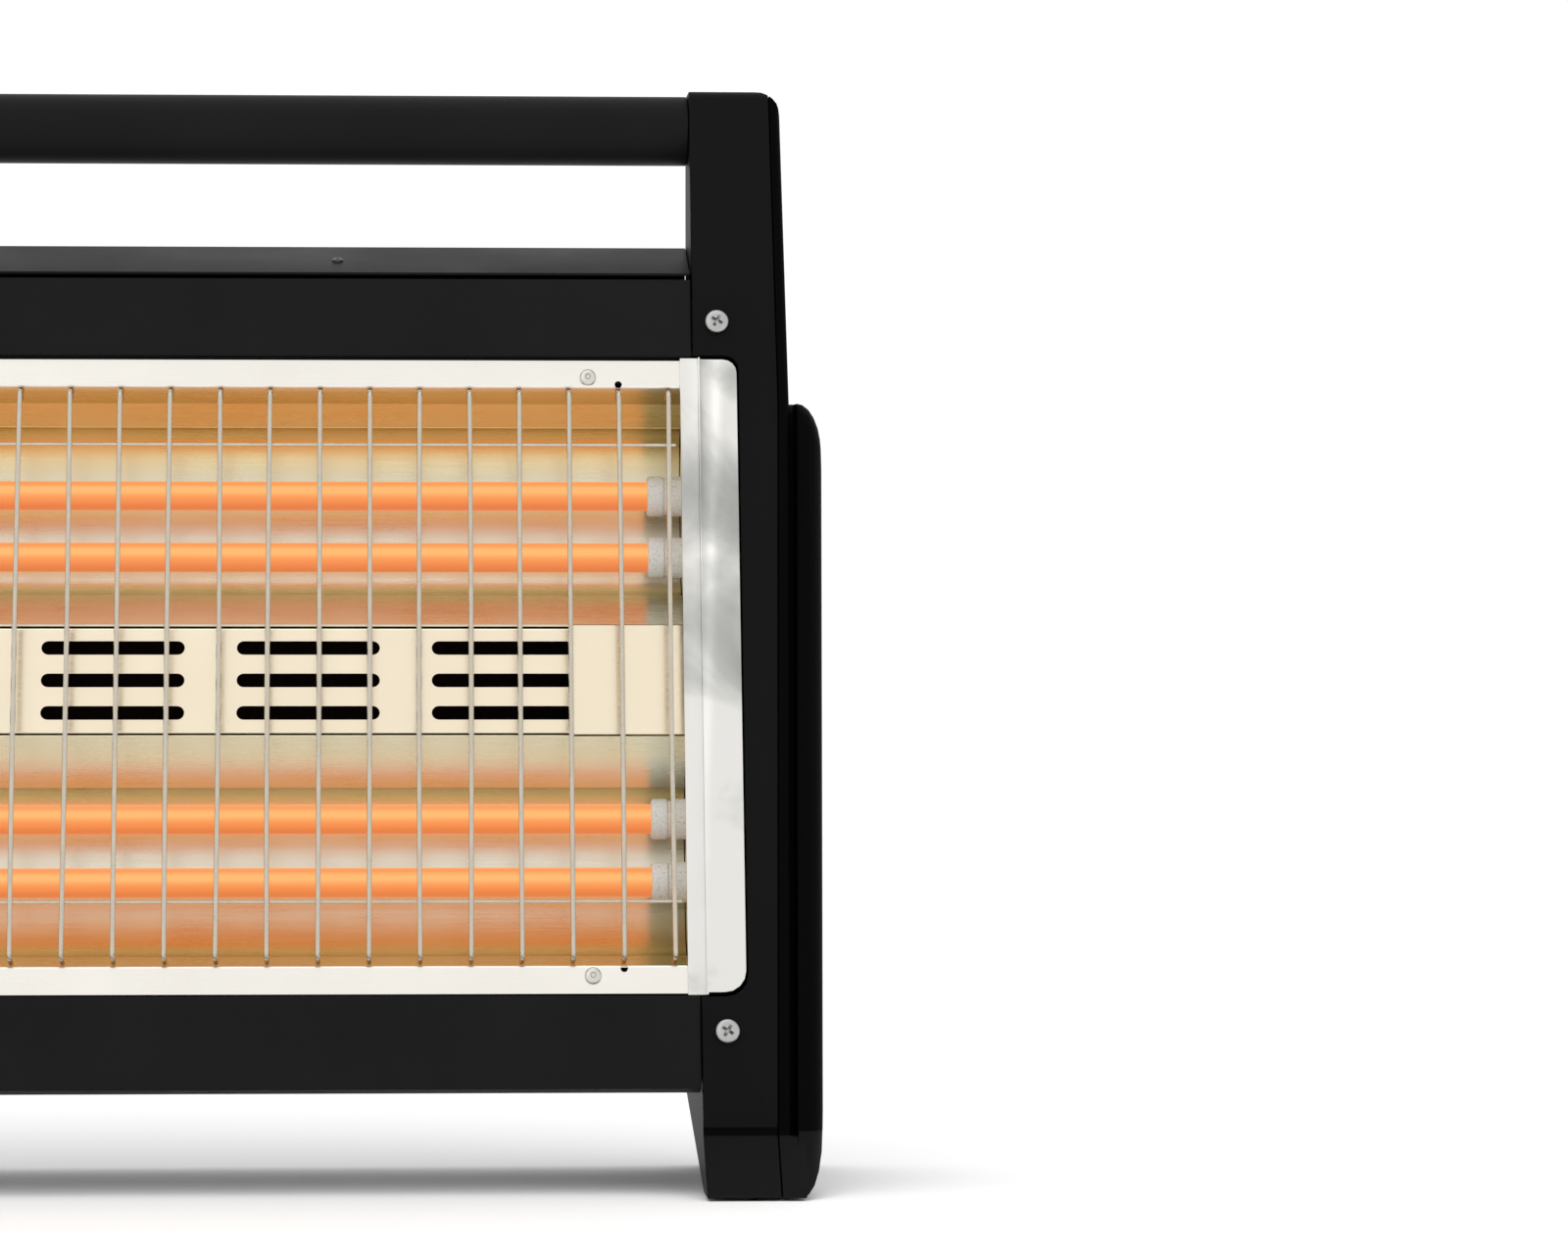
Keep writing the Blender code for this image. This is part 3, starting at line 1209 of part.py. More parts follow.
def pilot_lamp():
    stem = LAMP_RADIUS - MM - GAP
    seat = GAP - LAMP_SEAT
    place(turned("pilot_lamp", [
        (stem, -14 * MM), (stem, seat), (LAMP_RADIUS, seat), (LAMP_RADIUS, seat / 2),
        (LAMP_RADIUS * 0.6, 0)], 16, LAMP_LENS),
        (-bulge_face(LAMP_Z), KNOB_Y, LAMP_Z), (-1, 0, 0))


def tip_switch():
    """Tip-over switch: its plunger is held up by the floor and drops when the heater is lifted."""
    x, y = plunger_spot()
    shoulder = tail_z(y) + PANEL_WALL + PLUNGER_RISE
    foot = 2 * MM
    tip_radius = PLUNGER_TIP_RADIUS
    place(turned("tip_switch_plunger", [
        (PLUNGER_FOOT * 0.8, 0), (PLUNGER_FOOT, 0.5 * MM), (PLUNGER_FOOT * 0.9, foot),
        (PLUNGER_RADIUS, foot + 0.3 * MM), (PLUNGER_RADIUS, shoulder),
        (tip_radius, shoulder + 0.5 * MM), (tip_radius, shoulder + PLUNGER_TIP)], 14,
        SWITCH_PLASTIC),
        (x, y, 0))
    low = shoulder + TIP_SWITCH_LIFT
    body = block("tip_switch_body", (-(INNER_X + PANEL_WALL + GAP), y - TIP_SWITCH_FRONT, low),
                 (x - TIP_SWITCH_SIDE, y + TIP_SWITCH_BACK, low + TIP_SWITCH_HEIGHT),
                 SWITCH_PLASTIC)
    cut(body, drill("plunger guide", (x, y, low), (0, 0, 1), tip_radius + GAP, 14 * MM, 12))


def electrics():
    """Thermal cut-out on the shield, terminal block, cable gland, and the internal conductors."""
    disc = CUTOUT_RADIUS
    place(turned("thermal_cutout", [(disc, 0), (disc, 3.5 * MM), (disc * 0.6, 4.2 * MM)], 20,
                 SWITCH_PLASTIC), (0, SHIELD_Y + GAP, FACE_Z), (0, 1, 0))
    inner = INNER_X + PANEL_WALL + GAP
    low = CASE_BOTTOM + BLOCK_RISE
    back = REAR_Y - BLOCK_BACK
    block("terminal_block", (-inner, back - BLOCK_LENGTH, low),
          (-(inner + BLOCK_DEPTH), back, low + BLOCK_HEIGHT), SWITCH_PLASTIC)
    top = PANEL_WALL + GLAND_HEAD
    place(turned("cable_gland", [
        (GLAND_BORE, -GLAND_TAIL), (GLAND_BORE + 1.4 * MM, -GLAND_TAIL), (GLAND_FLANGE, -2 * MM),
        (GLAND_FLANGE, -GAP), (GLAND_RADIUS, -GAP), (GLAND_RADIUS, top), (GLAND_BORE, top)],
        18, RUBBER, closed=True), gland_spot(), gland_axis())
    bus_bar()
    leads()


def bus_bar():
    """The common strap that joins the four right-hand pins."""
    reach = PAIR_CENTRE + TUBE_PITCH / 2 + STRAP_END
    outline = [
        lean(u, w)
        for u, w in box_outline(-reach, reach, TUBE_DEPTH - STRAP_HALF, TUBE_DEPTH + STRAP_HALF)
    ]
    seat = CAP_END_X + GAP
    strap = along_x("bus_bar", outline, seat, seat + SHEET, STEEL)
    holes = [
        baked(drill("pin hole", (seat, *lean(u, TUBE_DEPTH)), (1, 0, 0), PIN_RADIUS + GAP,
                    3 * MM, 10))
        for u in tube_spots()
    ]
    cut(strap, joined_mesh("pin holes", holes))


def leads():
    """The left-hand loom: from pin to pin, then down to the top of the terminal block."""
    x_pin = PIN_END_X + LEAD_RADIUS + GAP
    y_block = REAR_Y - BLOCK_BACK - BLOCK_LENGTH / 2
    z_block = CASE_BOTTOM + BLOCK_RISE + BLOCK_HEIGHT
    points = [(-x_pin, *lean(u, TUBE_DEPTH)) for u in tube_spots()]
    points += [(-x_pin, y_block, z_block + LEAD_DROP), (-x_pin, y_block, z_block + GAP)]
    swept("wiring_loom", points, LEAD_RADIUS, 8, RUBBER)


for direction, hand in ((1, "right"), (-1, "left")):
    side_panel(direction, hand)
    side_cover(direction, hand)
    end_bracket(direction, hand)
handle()
rails()
rear_cover()
heat_shield()
reflector()
tubes()
wire_guard()
fixings()
selector()
pilot_lamp()
tip_switch()
electrics()
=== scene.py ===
"""The looks of a portable quartz heater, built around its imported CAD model: rounded mouldings,
rolled aluminium, a wire guard, glowing quartz tubes, and a plain studio.

Metres, +Z up. Depths and heights on the leaning front are given as (u, w): u up the front from
the middle of the four tubes, w inwards from the front.
"""

import math

import bmesh
import bpy
from mathutils import Matrix, Vector


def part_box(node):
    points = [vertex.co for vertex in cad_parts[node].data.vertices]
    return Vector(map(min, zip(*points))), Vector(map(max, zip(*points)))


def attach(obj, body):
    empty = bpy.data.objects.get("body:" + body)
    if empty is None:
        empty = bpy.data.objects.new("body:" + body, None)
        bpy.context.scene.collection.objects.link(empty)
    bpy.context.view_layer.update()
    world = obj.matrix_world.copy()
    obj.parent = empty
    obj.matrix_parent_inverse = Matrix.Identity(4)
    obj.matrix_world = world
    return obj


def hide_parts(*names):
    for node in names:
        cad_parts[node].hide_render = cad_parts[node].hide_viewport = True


MM = 0.001
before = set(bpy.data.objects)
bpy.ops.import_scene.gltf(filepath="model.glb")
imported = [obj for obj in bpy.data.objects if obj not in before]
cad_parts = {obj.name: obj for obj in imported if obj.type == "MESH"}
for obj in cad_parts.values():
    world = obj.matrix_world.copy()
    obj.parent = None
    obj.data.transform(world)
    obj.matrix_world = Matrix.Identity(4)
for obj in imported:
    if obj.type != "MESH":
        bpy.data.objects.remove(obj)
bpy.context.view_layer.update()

# Sheet metal of the reflector
FOIL = 0.8 * MM
FOLD_RADIUS = 1.1 * MM
STRIP_HEIGHT = 10.3 * MM
STRIP_DEPTH = 2.2 * MM
WALL_DEPTH = 17 * MM
WALL_DRAFT = 1.7 * MM
FLARE = 6 * MM
KNEE = 27 * MM
LAND_HALF = 20.7 * MM
LAND_DEPTH = 14 * MM
RAMP_RUN = 15.2 * MM
RAMP_FALL = 16 * MM
VENT_LIP = 9 * MM
WIRE_HOLE_RADIUS = 1.3 * MM
WIRE_HOLE_INSET = 1.3 * MM
SLOT_LENGTH = 51.2 * MM
SLOT_HEIGHT = 4.9 * MM
SLOT_ROW_PITCH = 12 * MM
SLOT_GROUP_PITCH = 70 * MM

# Tubes and guard
TUBE_DEPTH = 25 * MM
TUBE_BORE = 4.3 * MM
COIL_RADIUS = 2.6 * MM
COIL_PITCH = 3.4 * MM
COIL_WIRE = 0.45 * MM
PIN_RADIUS = 1.4 * MM
WIRE_PITCH = 18 * MM
WIRE_RADIUS = 0.9 * MM
WIRE_BEND = 2.6 * MM
WIRE_END_GAP = 2.5 * MM
CROSS_WIRE_INSET = 21.0 * MM
CROSS_WIRE_RADIUS = 0.6 * MM

# Camera angles in degrees: up from level, and right of square on
CAMERA_TILT = 0.5188
CAMERA_PAN = 2.4867

# Case and fixings
CREASE = (21 * MM, 24.5 * MM)
GREY_BAND = (160 * MM, 256 * MM)
GREY_BAND_EDGE = 22 * MM
# The band, up and down from the middle, of the troughs' outer walls where a gold reflection of the
# tubes is painted.
TUBE_REFLECTION_BAND = (78 * MM, 94 * MM)
MIDTONES = (0.3, 0.7)
BRAID = 1.2
WAVES_PER_UNIT = 20
SHEET = 1 * MM
SHOULDER_PIP_X = 150 * MM
SLOT_MARGIN = 62 * MM
SCREW_RECESS = 2.6 * MM
DIAL_RADIUS = 21.5 * MM
SETTINGS = 5
SETTING_TURN = 45


def middle(node):
    low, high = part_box(node)
    return (low + high) / 2


TUBES = [middle(f"quartz_tube_{number}") for number in (1, 2, 3, 4)]
UPWARD = (TUBES[0] - TUBES[3]).normalized()
INWARD = Vector((0, UPWARD.z, -UPWARD.y))
FACE = (TUBES[0] + TUBES[3]) / 2 - INWARD * TUBE_DEPTH


def lean(x, u, w):
    """The point at (x, u, w) on the leaning front."""
    return Vector((x, 0, 0)) + FACE + UPWARD * u + INWARD * w


def reach(node):
    """(lowest, highest) corner of a CAD node in (x, u, w)."""
    places = [v.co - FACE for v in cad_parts[node].data.vertices]
    spans = [
        [p.x for p in places],
        [p.dot(UPWARD) for p in places],
        [p.dot(INWARD) for p in places],
    ]
    return Vector([min(s) for s in spans]), Vector([max(s) for s in spans])


# ---- Materials ----

def linear(code):
    """An sRGB hex colour as linear red, green, blue and alpha."""
    made = []
    for place in (1, 3, 5):
        value = int(code[place:place + 2], 16) / 255
        made.append(value / 12.92 if value <= 0.04045 else ((value + 0.055) / 1.055) ** 2.4)
    return (*made, 1.0)


def grain(size):
    """The texture scale, per metre, that gives features of this many millimetres."""
    return 1000 / size


def add(tree, kind, inputs=None, stops=(), **settings):
    """Adds a shader node, with its settings, its inputs' values or links, and a ramp's stops."""
    made = tree.nodes.new("ShaderNode" + kind)
    for name, value in settings.items():
        setattr(made, name, value)
    for i, (place, colour) in enumerate(stops):
        element = made.color_ramp.elements[i] if i < 2 else made.color_ramp.elements.new(place)
        element.position = place
        element.color = linear(colour)
    for name, value in (inputs or {}).items():
        if isinstance(value, bpy.types.NodeSocket):
            tree.links.new(value, made.inputs[name])
        else:
            made.inputs[name].default_value = value
    return made


def surface(name, **values):
    """A material with a Principled shader, its node tree and its object coordinates."""
    made = bpy.data.materials.new(name)
    made.use_nodes = True
    tree = made.node_tree
    shader = tree.nodes["Principled BSDF"]
    for socket, value in values.items():
        shader.inputs[socket.replace("_", " ")].default_value = value
    place = tree.nodes.new("ShaderNodeTexCoord").outputs["Object"]
    return made, tree, shader, place


def vary(tree, shader, shade, colours, wear=None, gloss=(), span=(0.0, 1.0), relief=None):
    """Lets patterns vary a finish: shade mixes its two colours, wear over its span sets the
    roughness between two values, and relief is the (pattern, strength, depth) of its bumps."""
    tone = add(tree, "Mix", {
        "Factor": shade, "A": linear(colours[0]), "B": linear(colours[1])}, data_type="RGBA")
    tree.links.new(tone.outputs["Result"], shader.inputs["Base Color"])
    if wear:
        rough = add(tree, "MapRange", {
            "Value": wear, "From Min": span[0], "From Max": span[1], "To Min": gloss[0],
            "To Max": gloss[1]})
        tree.links.new(rough.outputs["Result"], shader.inputs["Roughness"])
    if relief:
        bumps = add(tree, "Bump", {
            "Height": relief[0], "Strength": relief[1], "Distance": relief[2]})
        tree.links.new(bumps.outputs["Normal"], shader.inputs["Normal"])


def moulded_polypropylene(name, dark, light, shine):
    """Injection-moulded polypropylene from a spark-eroded tool: a fine satin grain that breaks
    up its soft highlight, with faint flow marks. The 0.5 mm grain is drawn at 0.9 mm to show."""
    made, tree, shader, place = surface(name, Specular_IOR_Level=shine, IOR=1.49)
    flow = add(tree, "TexNoise", {"Vector": place, "Scale": grain(70), "Detail": 2.0})
    pits = add(tree, "TexNoise", {"Vector": place, "Scale": grain(0.9), "Detail": 3.0})
    pits = pits.outputs["Fac"]
    vary(tree, shader, flow.outputs["Fac"], (dark, light), pits, (0.42, 0.58), MIDTONES,
         (pits, 0.35, 0.06 * MM))
    return made


def powder_coated_steel():
    """Stove-cured black powder coat on sheet steel: a smooth skin with the slow ripple of
    orange peel, about 2 mm across, and a satin gloss."""
    made, tree, shader, place = surface("powder coated steel", Specular_IOR_Level=0.12, IOR=1.22)
    ripple = add(tree, "TexNoise", {"Vector": place, "Scale": grain(2.2), "Detail": 1.0})
    dust = add(tree, "TexNoise", {"Vector": place, "Scale": grain(45), "Detail": 3.0})
    dust = dust.outputs["Fac"]
    vary(tree, shader, dust, ("#171717", "#1d1d1d"), dust, (0.34, 0.44), MIDTONES,
         (ripple.outputs["Fac"], 0.25, 0.12 * MM))
    return made


def rolled_aluminium(name, tint, low, high, smear, tube_light_tint="#ffffff", tube_reflection_tint="#ffffff",
                     streak=0.7):
    """Bright rolled aluminium sheet: fine lines along the rolling direction, which runs along
    the tubes, so reflections smear up and down but stay crisp from side to side. Behind the
    strips the colour gets a painted tint for the tubes' light, and on the troughs' outer walls
    a gold painted reflection of the tubes."""
    made, tree, shader, place = surface(name, Metallic=1.0, Anisotropic=smear)
    across = add(tree, "Tangent", direction_type="RADIAL", axis="X")
    tree.links.new(across.outputs["Tangent"], shader.inputs["Tangent"])
    depth = add(tree, "VectorMath", {0: place, 1: INWARD}, operation="DOT_PRODUCT")
    strips = FACE.dot(INWARD) + STRIP_DEPTH + FOIL
    # This mask marks the trough behind the strips, where the tubes' light is painted into the
    # colour.
    heat = add(tree, "MapRange", {
        "Value": depth.outputs["Value"], "From Min": strips, "From Max": strips + 4 * MM})
    stretched = add(tree, "Mapping", {"Vector": place, "Scale": (0.02, 1.0, 1.0)})
    lines = add(tree, "TexNoise", {
        "Vector": stretched.outputs["Vector"], "Scale": grain(streak), "Detail": 4.0})
    clouds = add(tree, "TexNoise", {"Vector": place, "Scale": grain(38), "Detail": 3.0})
    tone = add(tree, "Mix", {
        "Factor": clouds.outputs["Fac"], "A": linear(tint[0]), "B": linear(tint[1])},
        data_type="RGBA")
    # Painted light: the trough's tint for the tubes' glow.
    tube_light_tone = add(tree, "Mix", {
        "Factor": heat.outputs["Result"], "A": tone.outputs["Result"], "B": linear(tube_light_tint)},
        data_type="RGBA", blend_type="MULTIPLY")
    rise = add(tree, "VectorMath", {0: place, 1: UPWARD}, operation="DOT_PRODUCT")
    middle_rise = add(tree, "Math", {
        0: rise.outputs["Value"], 1: FACE.dot(UPWARD)}, operation="SUBTRACT")
    spread = add(tree, "Math", {0: middle_rise.outputs["Value"]}, operation="ABSOLUTE")
    outside = add(tree, "MapRange", {
        "Value": spread.outputs["Value"], "From Min": TUBE_REFLECTION_BAND[0],
        "From Max": TUBE_REFLECTION_BAND[1]})
    walls = add(tree, "Math", {
        0: outside.outputs["Result"], 1: heat.outputs["Result"]}, operation="MULTIPLY")
    # Painted reflection: gold on the troughs' outer walls, for the tubes mirrored there.
    tube_reflection_tone = add(tree, "Mix", {
        "Factor": walls.outputs["Value"], "A": tube_light_tone.outputs["Result"], "B": linear(tube_reflection_tint)},
        data_type="RGBA", blend_type="MULTIPLY")
    tree.links.new(tube_reflection_tone.outputs["Result"], shader.inputs["Base Color"])
    mixed = add(tree, "Math", {0: lines.outputs["Fac"], 1: clouds.outputs["Fac"]},
                operation="ADD")
    gloss = add(tree, "MapRange", {
        "Value": mixed.outputs["Value"], "From Min": 0.7, "From Max": 1.3, "To Min": low,
        "To Max": high})
    tree.links.new(gloss.outputs["Result"], shader.inputs["Roughness"])
    relief = add(tree, "Bump", {
        "Height": lines.outputs["Fac"], "Strength": 0.12, "Distance": 0.00005})
    tree.links.new(relief.outputs["Normal"], shader.inputs["Normal"])
    return made


def pressed_aluminium():
    """Soft aluminium sheet after pressing and handling: cloudy patches 20 to 60 mm across over
    fine scuffs, and a duller grey band about 160 to 256 mm up, beside the upper tubes."""
    made, tree, shader, place = surface("pressed aluminium", Metallic=1.0)
    height = add(tree, "SeparateXYZ", {"Vector": place}).outputs["Z"]
    # Between these heights the colour is pulled down to a duller grey band.
    low, high = GREY_BAND
    under = add(tree, "MapRange", {
        "Value": height, "From Min": low, "From Max": low + GREY_BAND_EDGE},
        interpolation_type="SMOOTHSTEP")
    over = add(tree, "MapRange", {
        "Value": height, "From Min": high + GREY_BAND_EDGE, "From Max": high - GREY_BAND_EDGE},
        interpolation_type="SMOOTHSTEP")
    bloom = add(tree, "Math", {0: under.outputs["Result"], 1: over.outputs["Result"]},
                operation="MULTIPLY")
    patches = add(tree, "TexNoise", {
        "Vector": place, "Scale": grain(60), "Detail": 4.0, "Roughness": 0.55,
        "Distortion": 0.5})
    dulled = add(tree, "Math", {
        0: bloom.outputs["Value"], 1: -0.22, 2: patches.outputs["Fac"]},
        operation="MULTIPLY_ADD")
    tone = add(tree, "ValToRGB", {"Fac": dulled.outputs["Value"]}, stops=(
        (0.22, "#a2a29f"), (0.60, "#e0deda"), (0.32, "#b4b4b1"), (0.46, "#dddcd7")))
    tree.links.new(tone.outputs["Color"], shader.inputs["Base Color"])
    scuffs = add(tree, "TexNoise", {
        "Vector": place, "Scale": grain(1.4), "Detail": 5.0, "Distortion": 1.5})
    mixed = add(tree, "Math", {0: patches.outputs["Fac"], 1: scuffs.outputs["Fac"]},
                operation="ADD")
    gloss = add(tree, "MapRange", {
        "Value": mixed.outputs["Value"], "From Min": 0.7, "From Max": 1.3, "To Min": 0.48,
        "To Max": 0.30})
    tree.links.new(gloss.outputs["Result"], shader.inputs["Roughness"])
    relief = add(tree, "Bump", {
        "Height": scuffs.outputs["Fac"], "Strength": 0.10, "Distance": 0.00008})
    tree.links.new(relief.outputs["Normal"], shader.inputs["Normal"])
    return made


def zinc_plate(name, light, dark, low, high, size=1.2):
    """Electroplated zinc: a bright grey skin with a slightly uneven, crystalline gloss."""
    made, tree, shader, place = surface(name, Metallic=1.0)
    crystals = add(tree, "TexNoise", {"Vector": place, "Scale": grain(size), "Detail": 4.0})
    crystals = crystals.outputs["Fac"]
    vary(tree, shader, crystals, (dark, light), crystals, (low, high), MIDTONES)
    return made


def galvanised_sheet():
    """Hot-dipped steel sheet: flat grey crystals, the spangle, about 7 mm across."""
    made, tree, shader, place = surface("galvanised sheet", Metallic=1.0)
    spangle = add(tree, "TexVoronoi", {"Vector": place, "Scale": grain(7)})
    split = add(tree, "SeparateColor", {"Color": spangle.outputs["Color"]})
    vary(tree, shader, split.outputs["Red"], ("#8d9092", "#b4b7b8"), split.outputs["Green"],
         (0.32, 0.5))
    return made


def stove_blacked_steel():
    """The heat shield as brownish near-black steel: painted shade, so the inside seen through the
    air slots stays dark.
    """
    made, tree, shader, place = surface("shade blackened steel", Specular_IOR_Level=0.1)
    scale = add(tree, "TexNoise", {"Vector": place, "Scale": grain(12), "Detail": 5.0})
    scale = scale.outputs["Fac"]
    vary(tree, shader, scale, ("#120806", "#2a150d"), scale, (0.65, 0.85), MIDTONES)
    return made


def milky_quartz():
    """Satin fused quartz over a glowing coil: the milky wall spreads the orange light. The glow's
    colour is ramped by how far up each point faces: a painted highlight just above the middle
    of the tube, and painted shade, redder, towards its lower side."""
    made, tree, shader, place = surface(
        "milky fused quartz", Roughness=0.35, IOR=1.46, Specular_IOR_Level=0.3,
        Base_Color=linear("#5a2410"), Emission_Strength=0.93)
    facing = tree.nodes["Texture Coordinate"].outputs["Normal"]
    # Glow ramped by how far up the surface faces: a painted highlight above the middle, painted
    # shade below.
    rise = add(tree, "VectorMath", {0: facing, 1: UPWARD}, operation="DOT_PRODUCT")
    height = add(tree, "MapRange", {"Value": rise.outputs["Value"], "From Min": -1.0})
    drawn = add(tree, "TexNoise", {"Vector": add(tree, "Mapping", {
        "Vector": place, "Scale": (0.04, 1.0, 1.0)}).outputs["Vector"],
        "Scale": grain(3), "Detail": 2.0})
    wander = add(tree, "MapRange", {
        "Value": drawn.outputs["Fac"], "To Min": -0.03, "To Max": 0.03})
    level = add(tree, "Math", {0: height.outputs["Result"], 1: wander.outputs["Result"]},
                operation="ADD")
    glow = add(tree, "ValToRGB", {"Fac": level.outputs["Value"]}, stops=(
        (0.0, "#dd7a44"), (1.0, "#f3a264"), (0.16, "#ee8b4b"), (0.32, "#f89b54"),
        (0.50, "#fdbd72"), (0.64, "#fdbc70"), (0.80, "#f69d5a")))
    tree.links.new(glow.outputs["Color"], shader.inputs["Emission Color"])
    return made


def glowing_resistance_wire():
    """Iron-chrome-aluminium coil at working heat: orange-red, with a dark oxide skin."""
    made, tree, shader, place = surface(
        "resistance wire", Metallic=1.0, Emission_Strength=1.6)
    oxide = add(tree, "TexNoise", {"Vector": place, "Scale": grain(2), "Detail": 2.0})
    glow = add(tree, "Mix", {
        "Factor": oxide.outputs["Fac"], "A": linear("#ff5a1e"), "B": linear("#ff9a4a")},
        data_type="RGBA")
    tree.links.new(glow.outputs["Result"], shader.inputs["Emission Color"])
    tree.links.new(glow.outputs["Result"], shader.inputs["Base Color"])
    shader.inputs["Roughness"].default_value = 0.6
    return made


def pressed_steatite():
    """Dry-pressed steatite, unglazed: off-white, slightly chalky, with fine dark specks."""
    made, tree, shader, place = surface(
        "pressed steatite", Subsurface_Weight=0.15, Subsurface_Scale=0.002)
    specks = add(tree, "TexNoise", {"Vector": place, "Scale": grain(0.8), "Detail": 3.0})
    tone = add(tree, "ValToRGB", {"Fac": specks.outputs["Fac"]}, stops=(
        (0.30, "#b9b8b4"), (0.75, "#dfded9"), (0.42, "#d0d0cb")))
    tree.links.new(tone.outputs["Color"], shader.inputs["Base Color"])
    gloss = add(tree, "MapRange", {
        "Value": specks.outputs["Fac"], "To Min": 0.45, "To Max": 0.65})
    tree.links.new(gloss.outputs["Result"], shader.inputs["Roughness"])
    relief = add(tree, "Bump", {
        "Height": specks.outputs["Fac"], "Strength": 0.3, "Distance": 0.00005})
    tree.links.new(relief.outputs["Normal"], shader.inputs["Normal"])
    return made


def moulded_rubber():
    """Compression-moulded black rubber: matt, with a dusty bloom in patches."""
    made, tree, shader, place = surface("moulded rubber", Specular_IOR_Level=0.25)
    bloom = add(tree, "TexNoise", {"Vector": place, "Scale": grain(6), "Detail": 4.0})
    bloom = bloom.outputs["Fac"]
    vary(tree, shader, bloom, ("#111111", "#232221"), bloom, (0.65, 0.9))
    return made


def moulded_abs(name, light, dark, low, high):
    """Moulded ABS or nylon with a semi-gloss tool finish and a slight ripple."""
    made, tree, shader, place = surface(name, IOR=1.53, Specular_IOR_Level=0.35)
    ripple = add(tree, "TexNoise", {"Vector": place, "Scale": grain(5), "Detail": 3.0})
    ripple = ripple.outputs["Fac"]
    vary(tree, shader, ripple, (dark, light), ripple, (low, high))
    return made


def amber_polycarbonate():
    """Moulded amber polycarbonate lens, lit from behind by a neon lamp."""
    made, tree, shader, place = surface(
        "amber polycarbonate", IOR=1.58, Roughness=0.14, Emission_Strength=0.55)
    swirl = add(tree, "TexNoise", {"Vector": place, "Scale": grain(3), "Detail": 2.0})
    glow = add(tree, "Mix", {
        "Factor": swirl.outputs["Fac"], "A": linear("#e0560c"), "B": linear("#ff9a2e")},
        data_type="RGBA")
    tree.links.new(glow.outputs["Result"], shader.inputs["Base Color"])
    tree.links.new(glow.outputs["Result"], shader.inputs["Emission Color"])
    return made


def printed_ink():
    """Pad-printed white ink on the cover: flat, with slightly uneven cover."""
    made, tree, shader, place = surface("printed ink", Roughness=0.6)
    cover = add(tree, "TexNoise", {"Vector": place, "Scale": grain(1.0), "Detail": 2.0})
    vary(tree, shader, cover.outputs["Fac"], ("#c9c9c6", "#ededea"))
    return made


def braided_glass_sleeve():
    """Varnished glass-fibre sleeve over the leads: a 1.2 mm braid, drawn as bands along one slant.
    """
    made, tree, shader, place = surface("braided glass sleeve", Roughness=0.55)
    braid = add(tree, "TexWave", {
        "Vector": place, "Scale": grain(BRAID) / WAVES_PER_UNIT, "Distortion": 0.4},
        bands_direction="DIAGONAL")
    braid = braid.outputs["Fac"]
    vary(tree, shader, braid, ("#1a1918", "#4a4845"), relief=(braid, 0.5, 0.2 * MM))
    return made


def studio_paper():
    """Matt white background paper."""
    made, tree, shader, place = surface("studio paper", Roughness=0.9, Specular_IOR_Level=0.1)
    fibre = add(tree, "TexNoise", {"Vector": place, "Scale": grain(400), "Detail": 2.0})
    vary(tree, shader, fibre.outputs["Fac"], ("#fafafa", "#fcfcfc"))
    return made


PANEL_PLASTIC = moulded_polypropylene("moulded polypropylene", "#0b0b0c", "#101011", 0.06)
# A darker copy of the panel plastic, used as painted shade: on the covers, for their rounded front
# edges turning away from the light, and in the panels' crease above the toe.
SHADE_BLACK_PLASTIC = moulded_polypropylene("shade darkened polypropylene", "#040405", "#060607", 0.018)
BLACK_STEEL = powder_coated_steel()
# Its last two colours are painted light: the tint of the tubes' glow in the troughs, and the gold
# painted reflection of the tubes on the outer walls.
REFLECTOR = rolled_aluminium(
    "rolled aluminium", ("#e6e2da", "#efece5"), 0.24, 0.34, 0.6, "#f2f5ea", "#ffe8b2")
# Its cream tone is painted light: the warm glow of the tubes on either side, laid into the
# aluminium's colour.
VENT_SHEET = rolled_aluminium("punched aluminium", ("#e9dcc2", "#f0e4cc"), 0.16, 0.26, 0.0)
BRACKET_METAL = pressed_aluminium()
GUARD_ZINC = zinc_plate("bright zinc wire", "#cdc6b8", "#b9b2a4", 0.24, 0.34, 4)
SCREW_ZINC = zinc_plate("zinc plated screw", "#bcbcba", "#a2a3a2", 0.34, 0.46, 1.5)
RIVET_METAL = zinc_plate("drawn aluminium rivet", "#d6d4ce", "#c6c4bd", 0.3, 0.42, 2)
GALVANISED = galvanised_sheet()
# Painted shade: the shield is darkened so the inside seen through the slots stays dark.
SHIELD_SHADE_BLACK = stove_blacked_steel()
QUARTZ = milky_quartz()
COIL = glowing_resistance_wire()
STEATITE = pressed_steatite()
RUBBER = moulded_rubber()
KNOB_PLASTIC = moulded_abs("gloss black ABS", "#1b1b1d", "#141415", 0.22, 0.36)
SWITCH_PLASTIC = moulded_abs("glass-filled nylon", "#3a3a3b", "#28282a", 0.45, 0.6)
BLOCK_PLASTIC = moulded_abs("natural nylon", "#d9d5c6", "#c4bfae", 0.4, 0.55)
AMBER = amber_polycarbonate()
INK = printed_ink()
SLEEVE = braided_glass_sleeve()
PAPER = studio_paper()


# ---- Meshes ----

